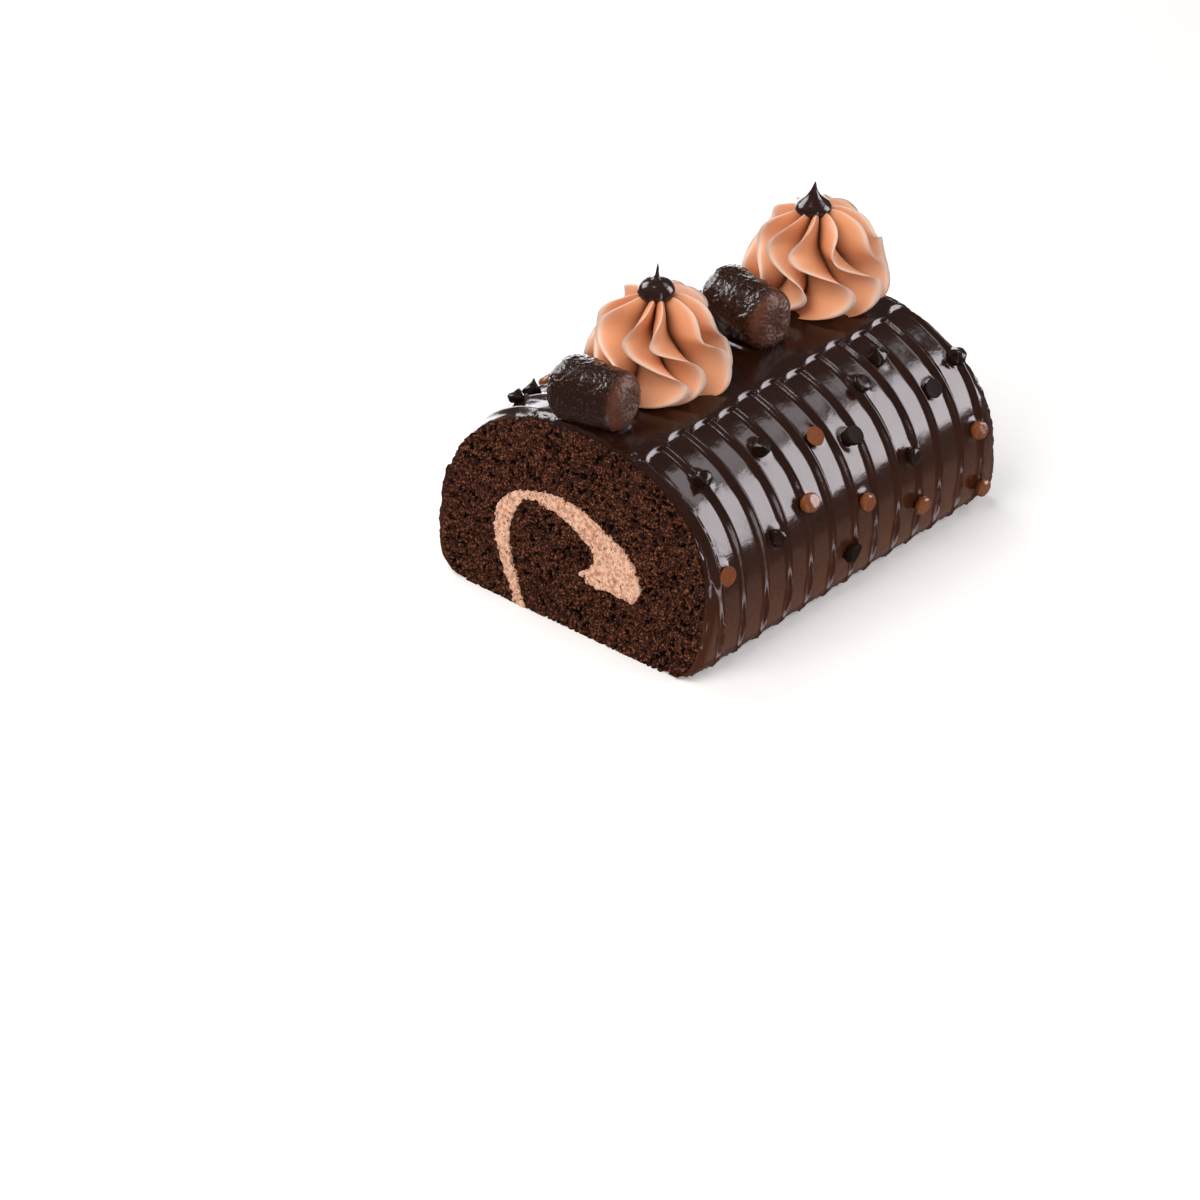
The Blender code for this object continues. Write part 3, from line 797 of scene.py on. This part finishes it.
def make_marshmallow(where, material):
    """A round-edged cylinder across the roll, pebbled by its glaze and sunk into the ganache.

    Its sheet is wrapped from one end's middle to the other's. `out` is 0 half-way and 1 at either middle:
    up to side_to it lies on the side, then it goes round the edge, and from end_from on it lies on the end.
    """
    thick, long, aside, slope, dented, back, up = MARSHMALLOWS[where]
    middle, size = topping_middle("marshmallow_" + where)
    edge = MARSHMALLOW_EDGE
    radius = size.y / 2 * thick
    half = size.x / 2 * long
    middle.y += back * MM
    centre_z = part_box("marshmallow_" + where)[1].z - radius + up * MM
    bm, angle, share = turned(MARSHMALLOW_SEGMENTS, MARSHMALLOW_RINGS)
    out = np.abs(2 * share - 1)
    side = np.sign(share - 0.5)
    end_from, side_to = 0.72, 0.28
    bend = np.clip((end_from - out) / (end_from - side_to), 0.0, 1.0) * math.pi / 2
    flat = radius - edge
    r = np.where(out > end_from, flat * (1 - out) / (1 - end_from), flat + edge * np.sin(bend))
    reach = np.where(out > side_to, half - edge + edge * np.cos(bend), (half - edge) * out / side_to)
    reach = np.where(out > end_from, half - 0.0005 * bump(r, flat * 0.8), reach)
    waist = 1 - 0.03 * bump(out, 0.4) - 0.08 * side * reach / half
    x = middle.x + side * reach
    y = middle.y + r * waist * np.sin(angle)
    z = centre_z + r * waist * np.cos(angle) + slope * (half - side * reach)
    points = np.column_stack((x, y, z)) / MM
    pebble = bpy.context.scene.swiss_roll_sizes.pebble / MM
    lift = dented * grain(points, 8.0, 2) + 0.24 * grain(points, pebble * 2.4, 6)
    lift = lift + 0.28 * grain(points, pebble, 9)
    normal = np.column_stack((side * (out > side_to) * np.cos(bend), np.sin(angle) * np.sin(bend),
                              np.cos(angle) * np.sin(bend)))
    points = points + normal * lift[:, None]
    move_to(bm, *(points.T * MM))
    add_values(bm, "end", ease((x - middle.x - half + edge * 0.9) / (edge * 0.6)))
    centre = Vector((middle.x, middle.y, 0))
    turn = Matrix.Rotation(math.radians(aside), 3, "Z")
    bmesh.ops.rotate(bm, verts=bm.verts, cent=centre, matrix=turn)
    wrap(bm)
    finish_piece("marshmallow_" + where, bm, material, ["marshmallow_" + where])


# ---------------------------------------------------------------- chips

# A chip's outline by kind: (share of its radius, height in mm) from its seat outwards.
CHIP_OUTLINES = {
    "peak": (
        (0.80, -0.7), (0.98, 0.2), (1.0, 0.8), (0.88, 1.4), (0.66, 2.1), (0.46, 2.8), (0.30, 3.5),
        (0.17, 4.1), (0.06, 4.6),
    ),
    "disc": (
        (0.75, -0.7), (0.92, 0.3), (1.0, 1.0), (1.0, 1.4), (0.97, 1.54), (0.92, 1.60), (0.85, 1.56),
        (0.40, 1.52),
    ),
    "knob": (
        (0.74, -0.7), (0.92, 0.3), (1.0, 1.0), (0.98, 1.6), (0.90, 2.1), (0.74, 2.5), (0.60, 2.62),
        (0.30, 2.6),
    ),
}
CHIP_SIDES = 22


def add_chip(bm, gloss, spot, draw):
    """Turns one chip's outline up from a ring, and sets it on the coat."""
    y_mm, angle, kind, _ = spot
    sizes = bpy.context.scene.swiss_roll_sizes
    outline = CHIP_OUTLINES[kind]
    old = set(bm.verts)
    start = bmesh.ops.create_circle(bm, segments=CHIP_SIDES, radius=sizes.chip / 2 * outline[0][0])
    ring = list(dict.fromkeys(e for v in start["verts"] for e in v.link_edges))
    first = ring
    for (before, low), (share, high) in zip(outline, outline[1:]):
        grown = bmesh.ops.extrude_edge_only(bm, edges=ring)["geom"]
        ring = [e for e in grown if isinstance(e, bmesh.types.BMEdge)]
        raised = [v for v in grown if isinstance(v, bmesh.types.BMVert)]
        ring = [e for e in ring if all(v in raised for v in e.verts)]
        bmesh.ops.translate(bm, verts=raised, vec=(0, 0, (high - low) * MM))
        bmesh.ops.scale(bm, verts=raised, vec=(share / before, share / before, 1))
    bmesh.ops.holes_fill(bm, edges=first + ring, sides=CHIP_SIDES)
    verts = [v for v in bm.verts if v not in old]
    lean = draw.uniform(-0.9, 0.9)
    rough = 0.50 if kind == "peak" else 0.20
    for vert in verts:
        vert[gloss] = 0.0 if kind == "disc" else 1.0
        rise = (vert.co.z / MM) / outline[-1][1]
        vert.co.x += lean * MM * max(rise, 0) ** 2
        vert.co += rough * MM * noise.noise_vector(vert.co / (1.7 * MM) + Vector((y_mm, angle, 0)))
    x, z = (float(value) for value in section(float(angle)))
    out_x, out_z = (float(value) for value in section_normal(float(angle)))
    out = Vector((out_x, 0, out_z))
    steps = (y_mm * MM - COMB_FIRST) / COMB_PITCH
    in_channel = abs(steps - round(steps)) < 0.33
    depth = sizes.comb_depth * (0.55 if in_channel else 0.25)
    if kind == "peak":
        bmesh.ops.rotate(bm, verts=verts, matrix=Matrix.Rotation(draw.uniform(0.45, 0.95), 3, "X"))
        spin = Matrix.Rotation(draw.uniform(-0.9, 0.9) - math.pi / 2, 3, "Z")
        bmesh.ops.rotate(bm, verts=verts, matrix=spin)
    tilt = Matrix.Rotation(draw.uniform(-0.16, 0.16), 3, "X")
    tilt = tilt @ Matrix.Rotation(draw.uniform(-0.16, 0.16), 3, "Y")
    bmesh.ops.rotate(bm, verts=verts, matrix=out.to_track_quat("Z", "Y").to_matrix() @ tilt)
    bmesh.ops.translate(bm, verts=verts, vec=Vector((x, y_mm * MM, z)) - out * depth)


def make_chips(chocolate, material):
    """All the chips of one chocolate as one piece, which stands for each one's own CAD node."""
    draw = random.Random(5 if chocolate == "dark" else 8)
    noise.seed_set(5)
    bm = bmesh.new()
    gloss = bm.verts.layers.float.new("gloss")
    nodes = []
    for index, spot in enumerate(CHIPS, 1):
        if spot[3] == chocolate:
            add_chip(bm, gloss, spot, draw)
            nodes.append("chip_%02d" % index)
    finish_piece(chocolate + "_chips", bm, material, nodes, 55)


# ---------------------------------------------------------------- materials

def link_into(tree, node, links):
    """Links other nodes' outputs into a node."""
    for name, source in links.items():
        tree.links.new(source, node.inputs[name])


def add_node(tree, kind, settings=None, links=None, output=0):
    """Adds a shader node, gives it its settings, links others into it, and returns its output."""
    node = tree.nodes.new("ShaderNode" + kind)
    for name, value in (settings or {}).items():
        if name == "stops":
            for place, _ in value[2:]:
                node.color_ramp.elements.new(place)
            for element, (place, colour) in zip(node.color_ramp.elements, value):
                element.position, element.color = place, colour
        elif isinstance(name, int) or name in node.inputs:
            node.inputs[name].default_value = value
        else:
            setattr(node, name, value)
    link_into(tree, node, links or {})
    return node.outputs[output]


def start_material(name, settings):
    """A Principled material with those settings, and the object coordinates that its patterns read."""
    material = bpy.data.materials.new(name)
    material.use_nodes = True
    tree = material.node_tree
    shader = tree.nodes["Principled BSDF"]
    for key, value in settings.items():
        shader.inputs[key].default_value = value
    where = add_node(tree, "TexCoord", output="Object")
    return material, tree, shader, where


def per_metre(millimetres):
    """A texture's scale for lumps of that size."""
    return 1 / (millimetres * MM)


def grey(level):
    return level, level, level, 1


def sponge_material(colours):
    """Baked cocoa sponge: matt, open crumb, painted shade in its pores and painted highlights on its tufts.
    """
    material, tree, shader, where = start_material("baked_cocoa_sponge", {
        "Roughness": 0.88, "IOR": 1.4, "Specular IOR Level": 0.22,
    })
    height = add_node(tree, "Attribute", {"attribute_name": "height"}, output="Fac")
    fine = add_node(tree, "TexNoise", {"Scale": per_metre(0.8), "Detail": 5.0, "Roughness": 0.72},
                    {"Vector": where})
    # Painted shade and highlight: where the fine noise, which the bump also sinks, is low the colour goes to
    # near-black, and where it is high to the lighter tuft colour.
    crumb = add_node(tree, "ValToRGB", {"stops": (
        (0.40, colours.pores), (0.48, colours.sponge), (0.54, colours.sponge), (0.64, colours.crumbs),
    )}, {"Fac": fine})
    # Painted shade: the deeper a point lies in a pore of the cut's relief, the nearer its colour goes to
    # near-black.
    depth = add_node(tree, "MapRange", {"From Min": -0.62, "From Max": 0.04}, {"Value": height})
    mixed = add_node(tree, "MixRGB", {"Color1": colours.pores}, {"Fac": depth, "Color2": crumb})
    relief = add_node(tree, "Bump", {"Strength": 1.0, "Distance": 0.55 * MM}, {"Height": fine})
    link_into(tree, shader, {"Base Color": mixed, "Normal": relief})
    return material


def crumb_material(colours):
    """Loose cocoa crumbs: matt, each a slightly different brown."""
    material, tree, shader, where = start_material("cocoa_crumbs", {
        "Roughness": 0.85, "IOR": 1.4, "Specular IOR Level": 0.25,
    })
    patch = add_node(tree, "TexNoise", {"Scale": per_metre(1.6), "Detail": 1.0}, {"Vector": where})
    steep = add_node(tree, "MapRange", {"From Min": 0.46, "From Max": 0.90}, {"Value": patch})
    mixed = add_node(tree, "MixRGB", {"Color1": colours.sponge, "Color2": colours.crumbs}, {"Fac": steep})
    link_into(tree, shader, {"Base Color": mixed})
    return material


def cream_material(colours):
    """Whipped chocolate cream, cut: satin, faintly see-through, with specks of crumb dragged over it."""
    material, tree, shader, where = start_material("cut_chocolate_cream", {
        "Roughness": 0.55, "IOR": 1.42, "Subsurface Weight": 0.25, "Subsurface Scale": 0.0012,
        "Subsurface Radius": (1.0, 0.6, 0.4),
    })
    streaks = add_node(tree, "TexNoise", {"Scale": per_metre(1.4), "Detail": 3.0}, {"Vector": where})
    specks = add_node(tree, "TexNoise", {"Scale": per_metre(0.7), "Detail": 1.0}, {"Vector": where})
    lift = add_node(tree, "MapRange", {"From Min": 0.32, "From Max": 0.58}, {"Value": streaks})
    tone = add_node(tree, "MixRGB", {"Color1": linear("bd8061"), "Color2": colours.cream}, {"Fac": lift})
    spot = add_node(tree, "ValToRGB", {"stops": ((0.62, grey(0)), (0.68, grey(1)))}, {"Fac": specks})
    mixed = add_node(tree, "MixRGB", {"Color2": linear("6f3d26")}, {"Fac": spot, "Color1": tone})
    relief = add_node(tree, "Bump", {"Strength": 0.6, "Distance": 0.25 * MM}, {"Height": streaks})
    link_into(tree, shader, {"Base Color": mixed, "Normal": relief})
    return material


def ganache_material(colours):
    """Poured ganache: wet and mirror-like, near black above, with painted light that makes it lighter and
    browner low on the flanks, and faint drag marks where the comb ran."""
    material, tree, shader, where = start_material("poured_ganache", {"IOR": 1.47})
    patches = add_node(tree, "TexNoise", {"Scale": per_metre(18.0), "Detail": 2.0}, {"Vector": where})
    drag = add_node(tree, "Mapping", {"Scale": (1.0, 0.35, 1.0)}, {"Vector": where})
    fine = add_node(tree, "TexNoise", {"Scale": per_metre(0.9), "Detail": 2.0}, {"Vector": drag})
    tone = add_node(tree, "MixRGB", {"Color1": colours.ganache, "Color2": linear("2e170e")}, {"Fac": patches})
    z = add_node(tree, "SeparateXYZ", links={"Vector": where}, output="Z")
    # Painted light: the colour grows lighter and browner towards the foot of the coat, for the light on the
    # lower flanks.
    low = add_node(tree, "MapRange", {"From Min": 0.050, "From Max": 0.010, "To Max": 0.8}, {"Value": z})
    painted_flank_light = add_node(tree, "MixRGB", {"Color2": linear("552c17")}, {"Fac": low, "Color1": tone})
    gloss = add_node(tree, "MapRange", {"To Min": 0.09, "To Max": 0.22}, {"Value": patches})
    relief = add_node(tree, "Bump", {"Strength": 0.34, "Distance": 0.10 * MM}, {"Height": fine})
    link_into(tree, shader, {"Base Color": painted_flank_light, "Roughness": gloss, "Normal": relief})
    return material


def buttercream_material(colours):
    """Piped buttercream: satin, a few air pits, painted shade in each groove and painted highlights on each
    thin edge.
    """
    material, tree, shader, where = start_material("piped_buttercream", {
        "Roughness": 0.46, "IOR": 1.45, "Specular IOR Level": 0.30,
    })
    crest = add_node(tree, "Attribute", {"attribute_name": "crest"}, output="Fac")
    fine = add_node(tree, "TexNoise", {"Scale": per_metre(0.8), "Detail": 2.0}, {"Vector": where})
    pits = add_node(tree, "TexVoronoi", {"Scale": per_metre(5.0)}, {"Vector": where})
    hole = add_node(tree, "MapRange", {"From Min": 0.03, "From Max": 0.07}, {"Value": pits})
    # Painted shade: the further down into its groove a point lies, the nearer its colour goes to dark brown.
    groove = add_node(tree, "Attribute", {"attribute_name": "groove"}, output="Fac")
    groove_shaded = add_node(tree, "MixRGB", {"Color1": colours.buttercream, "Color2": colours.groove_shade},
                    {"Fac": groove})
    # Painted highlight: a pale colour along the thin ridge line of each fin.
    tone = add_node(tree, "MixRGB", {"Color2": colours.crest_highlights}, {"Fac": crest, "Color1": groove_shaded})
    height = add_node(tree, "Math", {"operation": "MULTIPLY_ADD", 1: 0.12}, {0: fine, 2: hole})
    relief = add_node(tree, "Bump", {"Strength": 0.35, "Distance": 0.25 * MM}, {"Height": height})
    link_into(tree, shader, {"Base Color": tone, "Normal": relief})
    return material


def couverture_material(colours):
    """Melted and set couverture: a dark smooth gloss."""
    material, tree, shader, where = start_material("set_couverture", {"Roughness": 0.16, "IOR": 1.48})
    patches = add_node(tree, "TexNoise", {"Scale": per_metre(3.0), "Detail": 2.0}, {"Vector": where})
    tone = add_node(tree, "MixRGB", {"Color1": colours.couverture, "Color2": linear("35201a")},
                    {"Fac": patches})
    link_into(tree, shader, {"Base Color": tone})
    return material


def marshmallow_material(colours):
    """Thin cocoa glaze over marshmallow: pebbled and glossy, rubbed browner and duller on its open end."""
    material, tree, shader, where = start_material("glazed_marshmallow", {"IOR": 1.52})
    end = add_node(tree, "Attribute", {"attribute_name": "end"}, output="Fac")
    pebbles = add_node(tree, "TexNoise", {"Scale": per_metre(0.95), "Detail": 2.0, "Roughness": 0.55},
                       {"Vector": where})
    tone = add_node(tree, "MixRGB", {"Color1": colours.glaze, "Color2": colours.glaze_end}, {"Fac": end})
    rub = add_node(tree, "ValToRGB", {"stops": ((0.55, grey(0)), (0.72, grey(0.5)))}, {"Fac": pebbles})
    mixed = add_node(tree, "MixRGB", {"Color2": linear("633c29")}, {"Fac": rub, "Color1": tone})
    dull = add_node(tree, "MapRange", {"To Min": 0.15, "To Max": 0.42}, {"Value": end})
    weak = add_node(tree, "MapRange", {"To Min": 0.5, "To Max": 0.26}, {"Value": end})
    relief = add_node(tree, "Bump", {"Strength": 0.85, "Distance": 0.32 * MM}, {"Height": pebbles})
    link_into(tree, shader, {
        "Base Color": mixed, "Roughness": dull, "Specular IOR Level": weak, "Normal": relief,
    })
    return material


def chip_material(name, colour, roughness, shine):
    """Deposited chocolate chips: glossy where they are drawn up, dull and scuffed on a flat base."""
    material, tree, shader, where = start_material(name, {"IOR": 1.45})
    scuffs = add_node(tree, "TexNoise", {"Scale": per_metre(1.0), "Detail": 3.0}, {"Vector": where})
    drawn = add_node(tree, "Attribute", {"attribute_name": "gloss"}, output="Fac")
    gloss = add_node(tree, "MapRange", {"To Min": 0.62, "To Max": roughness}, {"Value": drawn})
    level = add_node(tree, "MapRange", {"To Min": 0.08, "To Max": shine}, {"Value": drawn})
    lighter = [min(channel * 1.9, 1.0) for channel in colour[:3]] + [1.0]
    tone = add_node(tree, "MixRGB", {"Color1": colour, "Color2": lighter}, {"Fac": scuffs})
    relief = add_node(tree, "Bump", {"Strength": 0.35, "Distance": 0.15 * MM}, {"Height": scuffs})
    link_into(tree, shader, {
        "Base Color": tone, "Roughness": gloss, "Specular IOR Level": level, "Normal": relief,
    })
    return material


# ---------------------------------------------------------------- operators

def colours_of(context):
    return context.scene.swiss_roll_colours


class SWISSROLL_OT_sponge(bpy.types.Operator):
    """Make the cocoa sponge and the loose crumbs on its cuts"""
    bl_idname = "swiss_roll.sponge"
    bl_label = "Sponge and crumbs"

    def execute(self, context):
        make_sponge(sponge_material(colours_of(context)))
        make_crumbs(crumb_material(colours_of(context)))
        return {"FINISHED"}


class SWISSROLL_OT_cream(bpy.types.Operator):
    """Make the hook of chocolate cream that runs through the roll"""
    bl_idname = "swiss_roll.cream"
    bl_label = "Cream"

    def execute(self, context):
        make_cream(cream_material(colours_of(context)))
        return {"FINISHED"}


class SWISSROLL_OT_coat(bpy.types.Operator):
    """Make the combed ganache coat"""
    bl_idname = "swiss_roll.coat"
    bl_label = "Ganache coat"

    def execute(self, context):
        make_coat(ganache_material(colours_of(context)))
        return {"FINISHED"}


class SWISSROLL_OT_rosettes(bpy.types.Operator):
    """Make the two piped rosettes"""
    bl_idname = "swiss_roll.rosettes"
    bl_label = "Rosettes"

    def execute(self, context):
        material = buttercream_material(colours_of(context))
        make_rosette("front", material, 8.0, 0.4)
        make_rosette("rear", material, 20.0, 2.1)
        return {"FINISHED"}


class SWISSROLL_OT_drops(bpy.types.Operator):
    """Make the chocolate drops on the rosettes"""
    bl_idname = "swiss_roll.drops"
    bl_label = "Drops"

    def execute(self, context):
        material = couverture_material(colours_of(context))
        for where in SIDES:
            make_drop(where, material)
        return {"FINISHED"}


class SWISSROLL_OT_marshmallows(bpy.types.Operator):
    """Make the two glazed marshmallows"""
    bl_idname = "swiss_roll.marshmallows"
    bl_label = "Marshmallows"

    def execute(self, context):
        material = marshmallow_material(colours_of(context))
        for where in SIDES:
            make_marshmallow(where, material)
        return {"FINISHED"}


class SWISSROLL_OT_chips(bpy.types.Operator):
    """Make the milk and dark chocolate chips"""
    bl_idname = "swiss_roll.chips"
    bl_label = "Chips"

    def execute(self, context):
        colours = colours_of(context)
        make_chips("milk", chip_material("milk_chocolate_chips", colours.milk, 0.24, 0.50))
        make_chips("dark", chip_material("dark_chocolate_chips", colours.dark, 0.20, 0.35))
        return {"FINISHED"}


# ---------------------------------------------------------------- stage

LOOK_AT = Vector((0.0, -0.06037, 0.0))
VIEW_TURN = math.radians(42.7)
VIEW_RISE = math.radians(33.9)
VIEW_DISTANCE = 1.384
VIEW_LEFT, VIEW_UP = 0.00047, 0.0011
LENS_MM = 123.2
FLOOR_REACH = 9.0


# Each light: its name, azimuth and elevation in degrees, distance and size in metres, radiance, whether it
# lights by gloss or by colour, and its own colour. The cards are what the wet ganache mirrors.
LIGHTS = (
    ("side_card", 49, 21, 0.95, (0.52, 0.78), 11.0, "gloss", "f3ecf1"),
    ("shoulder_card", 68, 54, 0.95, (0.42, 0.28), 3.4, "gloss", "f3ecf1"),
    ("under_card", 52, -40, 0.95, (0.75, 0.45), 0.45, "gloss", "dfae92"),
    ("left_card", 146, -2, 0.9, (0.92, 0.60), 4.5, "gloss", "f4eff4"),
    ("top_card", 262, 78, 1.0, (0.16, 0.10), 8.0, "gloss", "ffffff"),
    ("front_card", 194, 40, 1.0, (0.62, 0.48), 10.0, "gloss", "f6f3f4"),
    ("base_card", 316, -54, 0.95, (0.45, 0.22), 5.0, "gloss", "f3ecf1"),
    ("ridge_card", 334, -8, 0.95, (0.08, 1.20), 7.0, "gloss", "f3ecf1"),
    ("key_softbox", 265, 52, 1.3, (0.9, 0.9), 4.9, "colour", "fffaf6"),
    ("side_softbox", 20, 40, 1.3, (0.8, 0.8), 2.6, "colour", "ffffff"),
    ("left_softbox", 170, 50, 1.3, (0.8, 0.8), 2.8, "colour", "ffffff"),
)


def soft_light(name, azimuth, elevation, distance, size, radiance, lights_by, code):
    """A flat softbox that faces the cake. Azimuth runs from +X towards +Y, in degrees.

    A card that lights by gloss only shows in reflections, and one by colour only lights the colours.
    """
    light = bpy.data.lights.new(name, "AREA")
    light.shape = "RECTANGLE"
    light.size, light.size_y = size
    light.energy = radiance * math.pi * size[0] * size[1]
    light.color = linear(code)[:3]
    lamp = bpy.data.objects.new(name, light)
    turn, rise = math.radians(azimuth), math.radians(elevation)
    way = Vector((math.cos(rise) * math.cos(turn), math.cos(rise) * math.sin(turn), math.sin(rise)))
    lamp.location = way * distance + Vector((0, 0, ROLL_HEIGHT / 2))
    lamp.rotation_euler = way.to_track_quat("Z", "Y").to_euler()
    lamp.visible_camera = False
    lamp.visible_diffuse = lights_by == "colour"
    lamp.visible_glossy = lights_by == "gloss"
    bpy.context.scene.collection.objects.link(lamp)


def make_camera():
    """A long lens that looks down on the near cut and the side at +X."""
    back = Vector((
        math.sin(VIEW_TURN) * math.cos(VIEW_RISE), -math.cos(VIEW_TURN) * math.cos(VIEW_RISE),
        math.sin(VIEW_RISE),
    ))
    right = Vector((math.cos(VIEW_TURN), math.sin(VIEW_TURN), 0))
    up = back.cross(right)
    camera = bpy.data.objects.new("camera", bpy.data.cameras.new("camera"))
    camera.data.lens = LENS_MM
    camera.data.sensor_width = 36.0
    camera.location = LOOK_AT + back * VIEW_DISTANCE - right * VIEW_LEFT + up * VIEW_UP
    camera.rotation_euler = back.to_track_quat("Z", "Y").to_euler()
    bpy.context.scene.collection.objects.link(camera)
    bpy.context.scene.camera = camera


class SWISSROLL_OT_stage(bpy.types.Operator):
    """Make the pale floor, the softboxes and the camera"""
    bl_idname = "swiss_roll.stage"
    bl_label = "Stage"

    def execute(self, context):
        bm = bmesh.new()
        bmesh.ops.create_grid(bm, x_segments=8, y_segments=8, size=FLOOR_REACH)
        mesh = bpy.data.meshes.new("floor")
        bm.to_mesh(mesh)
        bm.free()
        floor = bpy.data.objects.new("floor", mesh)
        material, tree, shader, where = start_material("lit_white_acrylic", {
            "Roughness": 0.6, "Emission Color": linear("fffdfc"), "Emission Strength": 0.26,
        })
        soft = add_node(tree, "TexNoise", {"Scale": per_metre(40.0)}, {"Vector": where})
        tone = add_node(tree, "MixRGB", {"Color1": colours_of(context).floor, "Color2": linear("f7f6f5")},
                        {"Fac": soft})
        link_into(tree, shader, {"Base Color": tone})
        mesh.materials.append(material)
        context.scene.collection.objects.link(floor)
        floor.visible_glossy = False
        world = bpy.data.worlds.new("studio")
        world.use_nodes = True
        world.node_tree.nodes["Background"].inputs["Color"].default_value = linear("f3f1f5")
        world.node_tree.nodes["Background"].inputs["Strength"].default_value = 0.14
        context.scene.world = world
        for light in LIGHTS:
            soft_light(*light)
        context.scene.view_settings.view_transform = "Standard"
        make_camera()
        return {"FINISHED"}


class SWISSROLL_PT_panel(bpy.types.Panel):
    """Lists the pieces of the cake and their settings"""
    bl_idname = "SWISSROLL_PT_panel"
    bl_label = "Swiss roll"
    bl_space_type = "VIEW_3D"
    bl_region_type = "UI"
    bl_category = "Swiss roll"

    def draw(self, context):
        for group in (context.scene.swiss_roll_sizes, context.scene.swiss_roll_colours):
            box = self.layout.box()
            for name in group.bl_rna.properties.keys():
                if name not in ("name", "rna_type"):
                    box.prop(group, name)
        for operator in OPERATORS:
            self.layout.operator(operator.bl_idname)


OPERATORS = (
    SWISSROLL_OT_sponge, SWISSROLL_OT_cream, SWISSROLL_OT_coat, SWISSROLL_OT_rosettes,
    SWISSROLL_OT_drops, SWISSROLL_OT_marshmallows, SWISSROLL_OT_chips, SWISSROLL_OT_stage,
)
CLASSES = (SwissRollSizes, SwissRollColours, *OPERATORS, SWISSROLL_PT_panel)


def register():
    for item in CLASSES:
        bpy.utils.register_class(item)
    bpy.types.Scene.swiss_roll_sizes = bpy.props.PointerProperty(type=SwissRollSizes)
    bpy.types.Scene.swiss_roll_colours = bpy.props.PointerProperty(type=SwissRollColours)


def unregister():
    del bpy.types.Scene.swiss_roll_colours
    del bpy.types.Scene.swiss_roll_sizes
    for item in reversed(CLASSES):
        bpy.utils.unregister_class(item)


def main():
    register()
    bpy.ops.swiss_roll.sponge()
    bpy.ops.swiss_roll.cream()
    bpy.ops.swiss_roll.coat()
    bpy.ops.swiss_roll.rosettes()
    bpy.ops.swiss_roll.drops()
    bpy.ops.swiss_roll.marshmallows()
    bpy.ops.swiss_roll.chips()
    bpy.ops.swiss_roll.stage()


if __name__ == "__main__":
    main()
